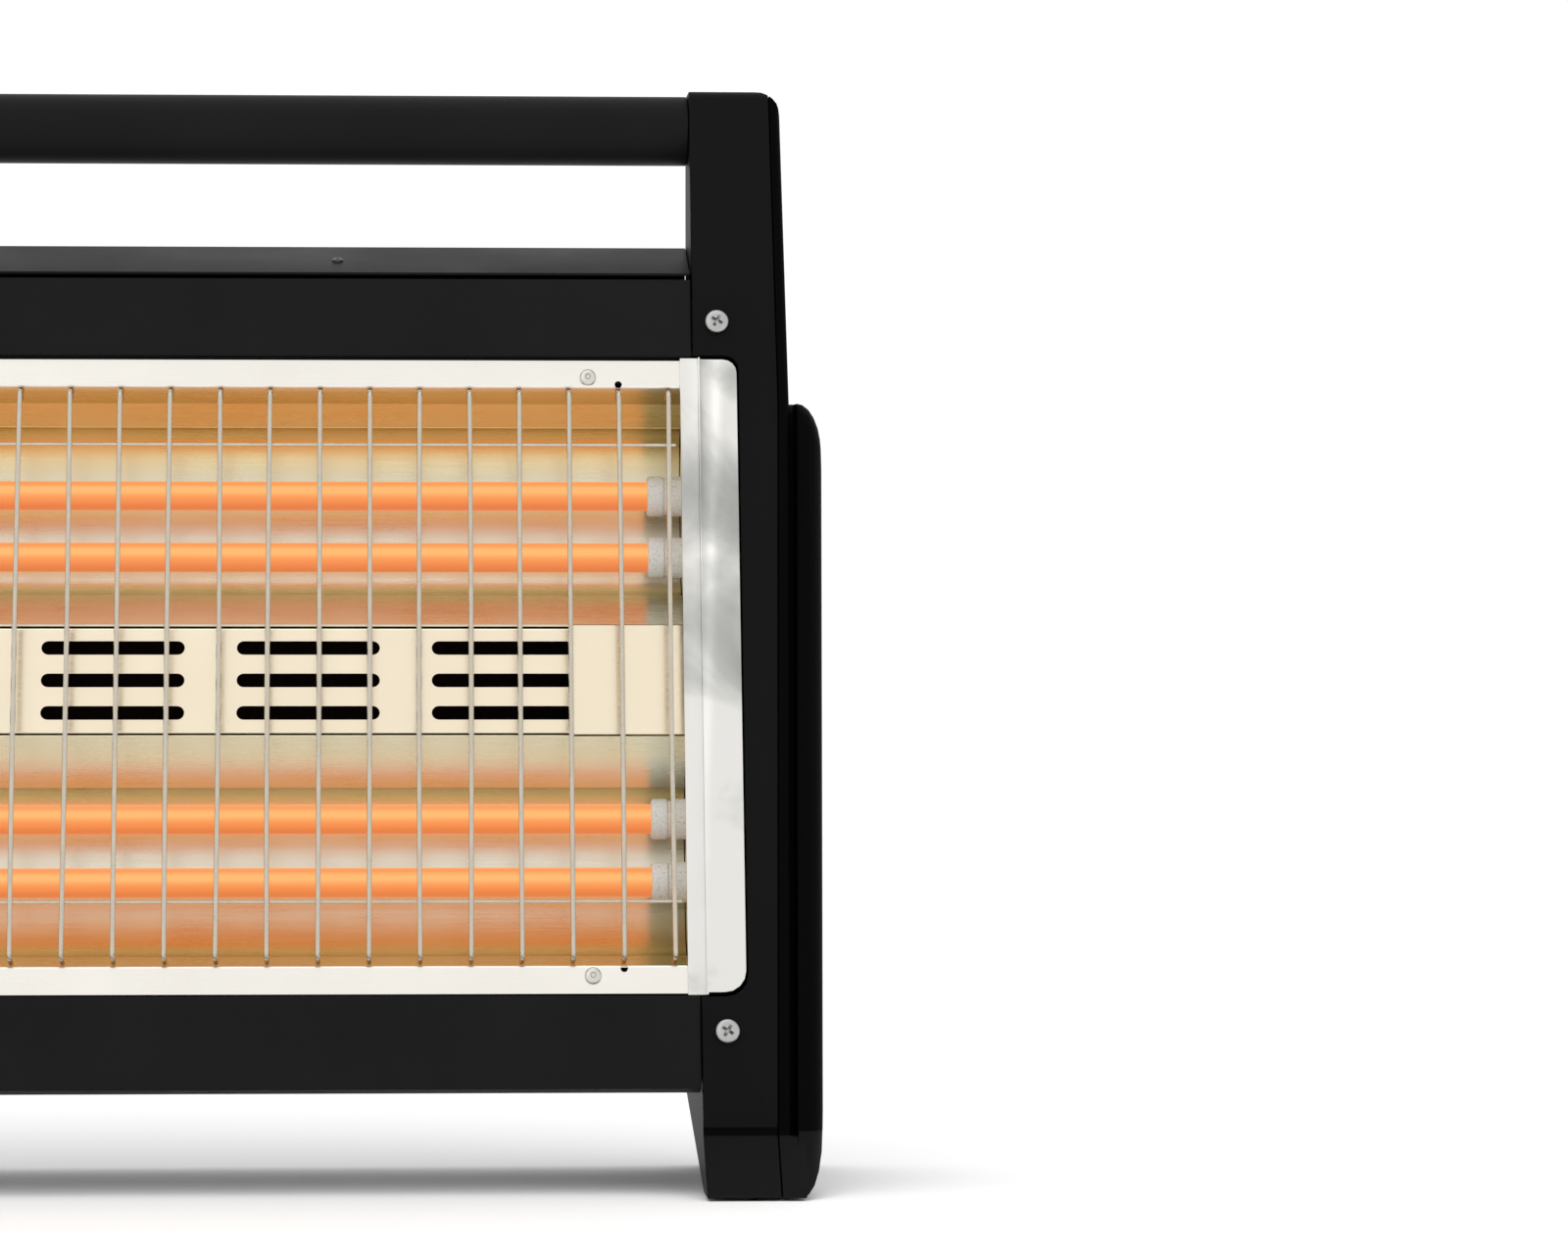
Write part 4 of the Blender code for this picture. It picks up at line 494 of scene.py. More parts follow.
def meshed(name, mesh, fold=32):
    """A new object from a bmesh, smooth except at folds sharper than this many degrees."""
    bmesh.ops.recalc_face_normals(mesh, faces=mesh.faces)
    if mesh.calc_volume(signed=True) < 0:
        bmesh.ops.reverse_faces(mesh, faces=mesh.faces)
    data = bpy.data.meshes.new(name)
    mesh.to_mesh(data)
    mesh.free()
    data.shade_smooth()
    data.set_sharp_from_angle(angle=math.radians(fold))
    made = bpy.data.objects.new(name, data)
    bpy.context.scene.collection.objects.link(made)
    return made


def fit_out(obj, material, nodes=(), body="heater"):
    """Gives a piece its material and its body, and hides the CAD nodes it stands for."""
    obj.data.materials.clear()
    obj.data.materials.append(material)
    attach(obj, body)
    if nodes:
        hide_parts(*nodes)
    return obj


def skin(mesh, rings, closed=False):
    """Adds a skin over rings of equal length to a bmesh, with flat ends unless it is closed."""
    loops = [[mesh.verts.new(point) for point in ring] for ring in rings]
    pairs = list(zip(loops, loops[1:]))
    if closed:
        pairs.append((loops[-1], loops[0]))
    else:
        mesh.faces.new(loops[0])
        mesh.faces.new(reversed(loops[-1]))
    for one, two in pairs:
        for i in range(len(one)):
            j = (i + 1) % len(one)
            mesh.faces.new((one[i], two[i], two[j], one[j]))


def soften(obj, width, segments=2, fold=30):
    """Rounds every fold of a piece."""
    rounding = obj.modifiers.new("rounded edges", "BEVEL")
    rounding.width = width
    rounding.segments = segments
    rounding.limit_method = "ANGLE"
    rounding.angle_limit = math.radians(fold)
    rounding.use_clamp_overlap = False
    rounding.harden_normals = True
    return obj


def settle(obj):
    """Applies a piece's modifiers."""
    bpy.context.view_layer.update()
    shaped = obj.evaluated_get(bpy.context.evaluated_depsgraph_get())
    data = bpy.data.meshes.new_from_object(shaped)
    obj.modifiers.clear()
    obj.data = data
    return obj


def carve(obj, cutter):
    """Cuts one piece out of another and removes the cutter."""
    modifier = obj.modifiers.new("cut", "BOOLEAN")
    modifier.solver = "EXACT"
    modifier.object = cutter
    settle(obj)
    bpy.data.objects.remove(cutter, do_unlink=True)
    return obj


def smooth_folds(obj, fold=32):
    obj.data.shade_smooth()
    obj.data.set_sharp_from_angle(angle=math.radians(fold))
    return obj


def rounded(corners, radius, steps=5):
    """An open (u, w) path with its inner corners drawn as arcs."""
    made = [Vector(corners[0])]
    for before, here, after in zip(corners, corners[1:], corners[2:]):
        before, here, after = Vector(before), Vector(here), Vector(after)
        one = (before - here).normalized()
        two = (after - here).normalized()
        half = one.angle(two) / 2
        run = min(radius / math.tan(half), (before - here).length / 2, (after - here).length / 2)
        bend = run * math.tan(half)
        centre = here + (one + two).normalized() * bend / math.sin(half)
        first, last = here + one * run - centre, here + two * run - centre
        start = math.atan2(first.y, first.x)
        turn = (math.atan2(last.y, last.x) - start + math.pi) % (2 * math.pi) - math.pi
        for k in range(steps + 1):
            angle = start + turn * k / steps
            made.append(centre + Vector((math.cos(angle), math.sin(angle))) * bend)
    made.append(Vector(corners[-1]))
    return made


def sheet(path, thickness):
    """The closed outline of a bent sheet with one face on path and the other on its left."""
    far = []
    for i, here in enumerate(path):
        one = (here - path[i - 1]).normalized() if i else None
        two = (path[i + 1] - here).normalized() if i + 1 < len(path) else None
        one, two = one or two, two or one
        side_one, side_two = Vector((-one.y, one.x)), Vector((-two.y, two.x))
        across = (side_one + side_two).normalized()
        far.append(here + across * thickness / across.dot(side_one))
    return list(path) + far[::-1]


def folded_sheet(name, path, thickness, half, place):
    """A bent sheet along X, from -half to half, with place turning its (a, b) points."""
    outline = sheet(path, thickness)
    mesh = bmesh.new()
    skin(mesh, [[place(x, a, b) for a, b in outline] for x in (-half, half)])
    return meshed(name, mesh)


def turned(mesh, profile, seat, axis, sides=40, closed=False):
    """Adds a turned body to a bmesh, from (radius, height) points along axis above seat."""
    turn = Vector(axis).to_track_quat("Z", "Y").to_matrix()
    angles = [2 * math.pi * i / sides for i in range(sides)]
    rings = [
        [Vector(seat) + turn @ Vector((r * math.cos(a), r * math.sin(a), z)) for a in angles]
        for r, z in profile
    ]
    skin(mesh, rings, closed)


def turning(name, profile, seat, axis, sides=40, closed=False, fold=32):
    mesh = bmesh.new()
    turned(mesh, profile, seat, axis, sides, closed)
    return meshed(name, mesh, fold)


def wired(mesh, points, radius, sides=10):
    """Adds a round wire along points to a bmesh."""
    rings = []
    side = None
    for i, here in enumerate(points):
        one = (here - points[i - 1]).normalized() if i else None
        two = (points[i + 1] - here).normalized() if i + 1 < len(points) else None
        one, two = one or two, two or one
        along = (one + two).normalized()
        side = along.orthogonal() if side is None else side
        side = (side - along * side.dot(along)).normalized()
        other = along.cross(side)
        angles = [2 * math.pi * k / sides for k in range(sides)]
        rings.append([here + (side * math.cos(a) + other * math.sin(a)) * radius for a in angles])
    skin(mesh, rings)


def slot_cutter(name, spots, place, depth, steps=9):
    """One cutter for round-ended slots whose middles are (x, v) spots; place gives the points."""
    mesh = bmesh.new()
    run = (SLOT_LENGTH - SLOT_HEIGHT) / 2
    for x, v in spots:
        outline = []
        for end, start in ((1, -90), (-1, 90)):
            for k in range(steps + 1):
                angle = math.radians(start + 180 * k / steps)
                outline.append((x + end * run + SLOT_HEIGHT / 2 * math.cos(angle),
                                v + SLOT_HEIGHT / 2 * math.sin(angle)))
        skin(mesh, [[place(a, b, d) for a, b in outline] for d in depth])
    return meshed(name, mesh)


def slot_spots(count=3):
    """Middles of the air slots: groups of three rows each side of the middle group."""
    return [(group * SLOT_GROUP_PITCH, row * SLOT_ROW_PITCH)
            for group in range(-count, count + 1) for row in (-1, 0, 1)]


def pressed_copy(node, width, material, segments=2, fold=30, front_round=0.0, body="heater"):
    """The CAD node's own solid with every edge rounded as its tool would leave it."""
    mesh = bmesh.new()
    mesh.from_mesh(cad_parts[node].data)
    bmesh.ops.remove_doubles(mesh, verts=mesh.verts, dist=0.00001)
    bmesh.ops.dissolve_limit(
        mesh, angle_limit=math.radians(0.6), verts=mesh.verts, edges=mesh.edges)
    made = meshed(node + "_moulded" if front_round else node + "_pressed", mesh, fold)
    if front_round:
        round_front(made, front_round)
    if width:
        soften(made, width, segments, fold)
        settle(made)
        keep_inside(made, node)
    return fit_out(made, material, [node], body)


def keep_inside(obj, node):
    """Pulls any point back into its CAD node's box."""
    low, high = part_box(node)
    for vertex in obj.data.vertices:
        for axis in range(3):
            vertex.co[axis] = min(max(vertex.co[axis], low[axis]), high[axis])


def round_front(obj, radius):
    """A full radius where a cover's outer face meets its leaning front."""
    mesh = bmesh.new()
    mesh.from_mesh(obj.data)
    weights = mesh.edges.layers.float.new("bevel_weight_edge")
    forward = -INWARD
    for edge in mesh.edges:
        if len(edge.link_faces) != 2:
            continue
        one, two = (face.normal for face in edge.link_faces)
        if abs(two.x) > abs(one.x):
            one, two = two, one
        outer = one.x * edge.verts[0].co.x > 0 and abs(one.x) > 0.98
        above_toe = min(vertex.co.z for vertex in edge.verts) > CREASE[1]
        if outer and above_toe and two.dot(forward) > 0.98:
            edge[weights] = 1.0
    mesh.to_mesh(obj.data)
    mesh.free()
    rounding = obj.modifiers.new("front radius", "BEVEL")
    rounding.width = radius
    rounding.segments = 6
    rounding.limit_method = "WEIGHT"
    rounding.use_clamp_overlap = False
    settle(obj)


# ---- Side panels, covers and case ----

def mouldings():
    for word in ("left", "right"):
        panel = pressed_copy(
            f"side_panel_{word}", 0.5 * MM, PANEL_PLASTIC, 2, 38)
        # The cover takes the darker plastic: painted shade for its rounded front edge.
        cover = pressed_copy(
            f"side_cover_{word}", 0.5 * MM, SHADE_BLACK_PLASTIC, 2, 38,
            front_round=3.2 * MM)
        # Painted shade: the darker plastic on the panel's crease faces above the toe.
        toe_faces(panel, SHADE_BLACK_PLASTIC, *CREASE)
        # Painted light: the lighter panel plastic on the cover's toe, which tilts up to the light.
        toe_faces(cover, PANEL_PLASTIC, 0, CREASE[0])


def toe_faces(obj, material, low, high):
    """Gives the forward faces between two heights another material: painted shade, the darker
    plastic, in the crease above the toe, and painted light, the lighter plastic, on the cover's
    up-tilted toe."""
    obj.data.materials.append(material)
    for face in obj.data.polygons:
        if low < face.center.z < high and face.normal.y < -0.3:
            face.material_index = 1


def carry_tube():
    """Welded steel tube, its ends rolled in slightly where they meet the panels."""
    low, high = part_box("handle_tube")
    radius = (high.z - low.z) / 2
    wall = 1.2 * MM
    seat = Vector((0, (low.y + high.y) / 2, (low.z + high.z) / 2))
    end = high.x
    profile = [
        (radius - 0.5 * MM, -end), (radius - 0.12 * MM, -end + 0.25 * MM),
        (radius, -end + 0.8 * MM), (radius, end - 0.8 * MM),
        (radius - 0.12 * MM, end - 0.25 * MM), (radius - 0.5 * MM, end),
        (radius - wall, end), (radius - wall, -end),
    ]
    fit_out(turning("carry_tube", profile, seat, (1, 0, 0), 96, closed=True), BLACK_STEEL,
           ["handle_tube"])


def case():
    for node in ("top_rail", "bottom_rail"):
        pressed_copy(node, 0.35 * MM, BLACK_STEEL, 2, 40)
    rear_cover()
    # The shield's near-black is painted shade for the dark inside behind the slots.
    pressed_copy("heat_shield", 0.15 * MM, SHIELD_SHADE_BLACK, 1, 40)
    for side in (-1, 1):
        shoulder_pip(side)


def shoulder_line():
    """The rear cover's folds as (y, z): front of the shoulder, back edge, foot, and floor."""
    points = [v.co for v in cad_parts["rear_cover"].data.vertices]
    low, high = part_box("rear_cover")
    front = min((p for p in points if p.z > (low.z + high.z) / 2), key=lambda p: p.y)
    floor = min((p for p in points if p.z < (low.z + high.z) / 2), key=lambda p: p.y)
    top = max(p.z for p in points if abs(p.y - front.y) < 0.5 * MM)
    return Vector((front.y, top)), Vector((high.y, high.z)), Vector((high.y, low.z)), \
        Vector((floor.y, low.z))


def rear_cover():
    """One folded sheet with a 2.5 mm radius at each fold and punched air slots."""
    path = rounded(shoulder_line(), 2.5 * MM, 6)
    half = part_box("rear_cover")[1].x
    cover = folded_sheet("rear_cover_folded", path, -SHEET, half, lambda x, y, z: (x, y, z))
    low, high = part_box("rear_cover")
    back = high.y
    for centre in (low.z + SLOT_MARGIN, high.z - SLOT_MARGIN):
        cutter = slot_cutter("slots", slot_spots(),
                             lambda x, dz, y, z=centre: Vector((x, y, z + dz)),
                             (back - 4 * MM, back + 4 * MM))
        carve(cover, cutter)
    smooth_folds(cover)
    soften(cover, 0.2 * MM, 1, 50)
    fit_out(cover, BLACK_STEEL, ["rear_cover"])


def shoulder_pip(side):
    """A blind rivet painted over with the case, on the sloping shoulder."""
    front, back = shoulder_line()[:2]
    slope = (back - front).normalized()
    spot = front.lerp(back, 0.42)
    normal = Vector((0, -slope.y, slope.x))
    seat = Vector((side * SHOULDER_PIP_X, spot.x, spot.y)) - normal * 0.3 * MM
    profile = [
        (1.2 * MM, 0), (2.2 * MM, 0.05 * MM), (2.1 * MM, 0.6 * MM), (1.7 * MM, 0.95 * MM),
        (0.8 * MM, 1.0 * MM), (0.6 * MM, 0.6 * MM),
    ]
    word = "right" if side > 0 else "left"
    fit_out(turning(f"shoulder_rivet_{word}", profile, seat, normal, 24), KNOB_PLASTIC)


# ---- Reflector ----

def trough_path():
    """The upper trough's front face as a (u, w) path, from its strip to the middle land."""
    high = reach("reflector_upper")[1]
    outer = high.y - STRIP_HEIGHT
    depth = high.z - FOIL
    knee = Vector((outer - WALL_DRAFT - FLARE, KNEE))
    floor_outer = Vector((outer - KNEE, depth))
    floor_inner = Vector((LAND_HALF + KNEE, depth))
    ramp_top = Vector((LAND_HALF + RAMP_RUN, LAND_DEPTH + RAMP_FALL))
    folds = rounded([
        (high.y, STRIP_DEPTH), (outer, STRIP_DEPTH), (outer - WALL_DRAFT, WALL_DEPTH), knee,
        floor_outer], FOLD_RADIUS, 4)[:-1]
    steps = 14
    for k in range(1, steps + 1):
        turn = math.radians(90 * k / steps)
        folds.append(Vector((knee.x + (floor_outer.x - knee.x) * (1 - math.cos(turn)),
                             knee.y + (floor_outer.y - knee.y) * math.sin(turn))))
    for k in range(steps + 1):
        turn = math.radians(90 * k / steps)
        folds.append(Vector((floor_inner.x + (ramp_top.x - floor_inner.x) * math.sin(turn),
                             floor_inner.y + (ramp_top.y - floor_inner.y)
                             * (1 - math.cos(turn)))))
    folds.append(Vector((LAND_HALF, LAND_DEPTH)))
    return folds


def troughs():
    path = trough_path()
    half = reach("reflector_upper")[1].x
    outer = reach("reflector_upper")[1].y
    hole_x = reach("wire_guard")[1].x - WIRE_END_GAP - WIRE_PITCH
    for sign, word in ((1, "upper"), (-1, "lower")):
        trough = folded_sheet(f"trough_{word}", path, -FOIL, half,
                              lambda x, u, w, s=sign: lean(x, s * u, w))
        mesh = bmesh.new()
        for side in (-1, 1):
            u = sign * (outer - STRIP_HEIGHT + WIRE_HOLE_INSET)
            turned(mesh, [(WIRE_HOLE_RADIUS, -2 * MM), (WIRE_HOLE_RADIUS, 2 * MM)],
                   lean(side * hole_x, u, STRIP_DEPTH), INWARD, 20)
            low, high = reach(f"strip_rivet_{word}_{'right' if side > 0 else 'left'}")
            centre = (low + high) / 2
            turned(mesh, [(1.9 * MM, -2 * MM), (1.9 * MM, 2 * MM)],
                   lean(centre.x, centre.y, STRIP_DEPTH), INWARD, 20)
        carve(trough, meshed("holes", mesh))
        smooth_folds(trough, 24)
        fit_out(trough, REFLECTOR, [f"reflector_{word}"])


def vent_strip():
    """The raised middle strip: seven groups of punched slots, its lips behind the troughs."""
    half = LAND_HALF - FOIL - 0.3 * MM
    run = Vector((RAMP_RUN, RAMP_FALL)).normalized() * VENT_LIP
    back = FOIL + 0.6 * MM
    path = rounded([
        (half + run.x - back, LAND_DEPTH + run.y + back), (half - back * 0.4, LAND_DEPTH),
        (-half + back * 0.4, LAND_DEPTH), (-half - run.x + back, LAND_DEPTH + run.y + back),
    ], FOLD_RADIUS, 4)
    strip = folded_sheet("vent_strip_punched", path, -FOIL, reach("vent_strip")[1].x, lean)
    carve(strip, slot_cutter("slots", slot_spots(), lean, (LAND_DEPTH - 3 * MM,
                                                           LAND_DEPTH + 3 * MM)))
    smooth_folds(strip, 24)
    soften(strip, 0.15 * MM, 1, 50)
    fit_out(strip, VENT_SHEET, ["vent_strip"])


def reflector():
    troughs()
    vent_strip()
    for word in ("left", "right"):
        # The cheeks take the vent strip's cream tone: painted tube light.
        pressed_copy(f"reflector_cheek_{word}", 0, VENT_SHEET)
        pressed_copy(f"end_bracket_{word}", 0.22 * MM, BRACKET_METAL, 2, 40)


# ---- Tubes ----

def quartz_tubes():
    """Drawn quartz tubes with fire-polished ends."""
    for number, centre in enumerate(TUBES, 1):
        low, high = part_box(f"quartz_tube_{number}")
        radius, end = (high.y - low.y) / 2, high.x
        lip = 0.5 * MM
        profile = [
            (TUBE_BORE + lip, -end), (radius - lip, -end), (radius - lip * 0.3, -end + lip * 0.3),
            (radius, -end + lip), (radius, end - lip), (radius - lip * 0.3, end - lip * 0.3),
            (radius - lip, end), (TUBE_BORE + lip, end), (TUBE_BORE, end - lip),
            (TUBE_BORE, -end + lip),
        ]
        tube = turning(f"quartz_tube_{number}_drawn", profile, centre, (1, 0, 0), 56, True)
        fit_out(tube, QUARTZ, [f"quartz_tube_{number}"])


def heating_coils():
    """Wound coils on their terminal pins, one in each tube."""
    for number, centre in enumerate(TUBES, 1):
        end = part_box(f"quartz_tube_{number}")[1].x - 6 * MM
        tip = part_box(f"heating_coil_{number}")[1].x
        turns = int(2 * end / COIL_PITCH)
        steps = 9
        points = []
        for k in range(turns * steps + 1):
            angle = 2 * math.pi * k / steps
            x = -end + 2 * end * k / (turns * steps)
            points.append(centre + Vector((x, COIL_RADIUS * math.cos(angle),
                                           COIL_RADIUS * math.sin(angle))))
        mesh = bmesh.new()
        wired(mesh, points, COIL_WIRE, 5)
        for side in (-1, 1):
            turned(mesh, [
                (PIN_RADIUS, 0), (PIN_RADIUS, tip - end - 0.4 * MM),
                (PIN_RADIUS - 0.4 * MM, tip - end)], centre + Vector((side * end, 0, 0)),
                (side, 0, 0), 16)
            turned(mesh, [
                (COIL_RADIUS * 0.8, -2 * MM), (COIL_RADIUS, -1 * MM), (COIL_RADIUS, 1 * MM),
                (COIL_RADIUS * 0.6, 2 * MM)], centre + Vector((side * end, 0, 0)),
                (side, 0, 0), 16)
        fit_out(meshed(f"heating_coil_{number}_wound", mesh), COIL, [f"heating_coil_{number}"])


def ceramic_caps():
    """Pressed caps: a chamfered nose with a socket, a waist and a shoulder on the cheek."""
    for number in (1, 2, 3, 4):
        for word, side in (("right", 1), ("left", -1)):
            node = f"ceramic_cap_{number}_{word}"
            low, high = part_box(node)
            radius = (high.z - low.z) / 2
            near, far = (low.x, high.x) if side > 0 else (-high.x, -low.x)
            seat = Vector((side * near, (low.y + high.y) / 2, (low.z + high.z) / 2))
            cheek = 12.7 * MM
            neck = 5.9 * MM
            mouth = 5.65 * MM
            profile = [
                (mouth, 0.3 * MM), (mouth + 0.3 * MM, 0), (radius - 0.9 * MM, 0),
                (radius - 0.25 * MM, 0.3 * MM), (radius, 1.1 * MM), (radius, 5.6 * MM),
                (radius - 0.6 * MM, 6.2 * MM), (radius - 0.6 * MM, 8.2 * MM),
                (radius, 8.8 * MM), (radius, cheek), (neck, cheek), (neck, far - near - 0.6 * MM),
                (neck - 0.6 * MM, far - near), (1.8 * MM, far - near), (1.8 * MM, 8 * MM),
                (mouth, 8 * MM),
            ]
            fit_out(turning(node + "_pressed", profile, seat, (side, 0, 0), 40, True), STEATITE,
                   [node])


# ---- Wire guard ----

def guard():
    """Bent upright wires, resistance-welded to two thin cross wires behind them."""
    low, high = reach("wire_guard")
    count = round((high.x - WIRE_END_GAP) / WIRE_PITCH)
    front = low.z + WIRE_RADIUS
    top, hook = high.y - WIRE_RADIUS, high.z
    mesh = bmesh.new()
    for i in range(-count, count + 1):
        bow = 0.35 * MM * math.sin(2.4 * i)
        path = rounded([(-top, hook), (-top, front), (top, front), (top, hook)], WIRE_BEND, 6)
        middle_span = [Vector((top * (k / 8 - 1), front)) for k in range(3, 14)]
        path = path[:8] + middle_span + path[8:]
        points = []
        for u, w in path:
            swell = bow * (1 - (u / top) ** 2) if abs(w - front) < 0.1 * MM else 0.0
            points.append(lean(i * WIRE_PITCH + swell, u, w))
        wired(mesh, points, WIRE_RADIUS, 10)
    cross = reach("wire_guard")[1].x
    offset = top + WIRE_RADIUS - CROSS_WIRE_INSET
    behind = front + WIRE_RADIUS + CROSS_WIRE_RADIUS * 0.6
    for sign in (-1, 1):
        points = [lean(-cross + 2 * cross * k / 60, sign * offset, behind) for k in range(61)]
        wired(mesh, points, CROSS_WIRE_RADIUS, 8)
        for i in range(-count, count + 1):
            turned(mesh, [
                (0.5 * MM, -0.7 * MM), (1.0 * MM, -0.3 * MM), (1.05 * MM, 0.2 * MM),
                (0.6 * MM, 0.6 * MM)], lean(i * WIRE_PITCH, sign * offset, behind), INWARD, 10)
    fit_out(meshed("guard_welded", mesh), GUARD_ZINC, ["wire_guard"])


# ---- Fixings and feet ----

def screw(node, material=SCREW_ZINC):
    """A pan-head screw with a cross recess, where its CAD node is."""
    places = [v.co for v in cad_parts[node].data.vertices]
    low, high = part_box(node)
    long_way = Vector((1, 0, 0)) if high.x - low.x > 12 * MM else None
    if long_way:
        outward = long_way if high.x > 0 else -long_way
    else:
        outward = -INWARD
    top = max(places, key=lambda p: p.dot(outward))
    level = top.dot(outward)
    rim = [p for p in places if p.dot(outward) > level - 0.5 * MM]
    crown = sum(rim, Vector()) / len(rim)
    depth = 2.2 * MM
    length = level - min(p.dot(outward) for p in places) - depth
    seat = crown + outward * (level - crown.dot(outward) - depth)
    head = 4.3 * MM
    dome = [(head * math.cos(a) ** 0.55, 0.9 * MM + (depth - 0.9 * MM) * math.sin(a) ** 0.9)
            for a in (math.radians(d) for d in (0, 12, 25, 40, 55, 70, 82))]
    thread = []
    for k in range(int(length / (0.7 * MM)) - 1, 0, -1):
        thread += [(1.65 * MM, -k * 0.7 * MM), (2.0 * MM, (-k + 0.45) * 0.7 * MM)]
    profile = [(0.5 * MM, -length)] + thread + [(2.0 * MM, 0), (head - 0.15 * MM, 0)] + dome
    made = turning(node + "_turned", profile, seat, outward, 32, fold=40)
    turn = outward.to_track_quat("Z", "Y").to_matrix()
    spin = Matrix.Rotation(math.radians(20 + 37 * (crown.z + crown.x) * 10), 3, "Z")
    for quarter in (0, 1):
        mesh = bmesh.new()
        rings = []
        for half_length, half_width, z in ((SCREW_RECESS * 0.35, 0.30 * MM, 0.5 * MM),
                                           (SCREW_RECESS, 0.62 * MM, depth + 0.2 * MM)):
            ring = []
            for a, b in ((-1, -1), (1, -1), (1, 1), (-1, 1)):
                corner = Vector((a * half_length, b * half_width, z))
                if quarter:
                    corner = Vector((-corner.y, corner.x, corner.z))
                ring.append(seat + turn @ (spin @ corner))
            rings.append(ring)
        skin(mesh, rings)
        carve(made, meshed("recess", mesh))
    smooth_folds(made, 36)
    return fit_out(made, material, [node])


def fixings():
    for word in ("left", "right"):
        for level in ("upper", "lower"):
            screw(f"panel_screw_{level}_{word}")
            rivet(f"strip_rivet_{level}_{word}")
        screw(f"handle_screw_{word}")
        for level in ("front", "rear"):
            rubber_foot(f"rubber_foot_{level}_{word}")


def rivet(node):
    """A blind rivet: low domed head with the broken mandrel down its middle."""
    low, high = reach(node)
    centre = (low + high) / 2
    seat = lean(centre.x, centre.y, high.z - 5 * MM)
    profile = [
        (1.4 * MM, -5 * MM), (1.6 * MM, -4.6 * MM), (1.6 * MM, 0), (2.85 * MM, 0),
        (3.0 * MM, 0.15 * MM), (2.8 * MM, 0.5 * MM), (2.3 * MM, 0.85 * MM), (1.5 * MM, 1.08 * MM),
        (1.1 * MM, 1.05 * MM), (1.0 * MM, 0.6 * MM), (0.85 * MM, 0.6 * MM), (0.7 * MM, 0.95 * MM),
    ]
    fit_out(turning(node + "_set", profile, seat, -INWARD, 32), RIVET_METAL, [node])


def rubber_foot(node):
    low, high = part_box(node)
    centre = (low + high) / 2
    radius = (high.x - low.x) / 2
    top = 0.7 * MM
    profile = [
        (radius - 2.2 * MM, 0.25 * MM), (radius - 1.9 * MM, 0), (radius - 0.5 * MM, 0),
        (radius - 0.1 * MM, 0.15 * MM), (radius, 0.35 * MM), (radius - 0.1 * MM, top),
        (2.5 * MM, top), (2.5 * MM, 3.6 * MM), (2.9 * MM, 4.0 * MM), (1.5 * MM, high.z),
    ]
    fit_out(turning(node + "_pad", profile, (centre.x, centre.y, 0), (0, 0, 1), 32), RUBBER,
           [node])


# ---- Controls ----

def knob():
    """A skirted knob with a ribbed edge, a waisted grip bar and a printed pointer."""
    low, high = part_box("selector_knob")
    centre = (low + high) / 2
    face = Vector((high.x, centre.y, centre.z))
    rim = (high.z - low.z) / 2
    sides = 96
    mesh = bmesh.new()
    rings = []
    for inset, rise, ribbed in (
            (0.3, 0.0, 0), (0.0, 0.3, 1), (0.0, 1.9, 1), (0.5, 2.4, 0.6), (1.4, 3.0, 0),
            (2.6, 3.5, 0), (4.0, 3.6, 0)):
        ring = []
        for k in range(sides):
            angle = 2 * math.pi * k / sides
            rib = 0.35 * MM * ribbed * (k % 4 in (0, 1))
            r = rim - inset * MM - rib
            ring.append(face + Vector((-rise * MM, r * math.cos(angle), r * math.sin(angle))))
        rings.append(ring)
    skin(mesh, rings)
    skirt = meshed("selector_knob_skirt", mesh, 40)
    fit_out(skirt, KNOB_PLASTIC, ["selector_knob"], "selector")
    mesh = bmesh.new()
    rings = []
    tip = low.x
    for width, length, x in ((3.9, rim / MM - 2.2, face.x - 3.3 * MM),
                             (3.0, rim / MM - 2.5, face.x - 4.4 * MM),
                             (2.5, rim / MM - 2.9, (face.x + tip) / 2 - 1 * MM),
                             (2.3, rim / MM - 3.3, tip + 0.5 * MM),
                             (1.8, rim / MM - 3.9, tip)):
        ring = []
        steps = 7
        for end, start in ((1, 0), (-1, 180)):
            for k in range(steps + 1):
                angle = math.radians(start + 180 * k / steps)
                ring.append(Vector((x, centre.y + width * MM * math.cos(angle),
                                    centre.z + end * (length - width) * MM
                                    + width * MM * math.sin(angle))))
        rings.append(ring)
    skin(mesh, rings)
    fit_out(meshed("selector_knob_grip", mesh, 40), KNOB_PLASTIC,
           body="selector")
    mesh = bmesh.new()
    length = rim - 5 * MM
    outline = ((-0.55, 0.35), (0.55, 0.35), (0.4, 1.0), (-0.4, 1.0))
    skin(mesh, [[Vector((x, centre.y + a * MM, centre.z + b * length)) for a, b in outline]
                for x in (tip + 0.2 * MM, tip + 0.04 * MM)])
    fit_out(meshed("selector_pointer", mesh), INK, body="selector")


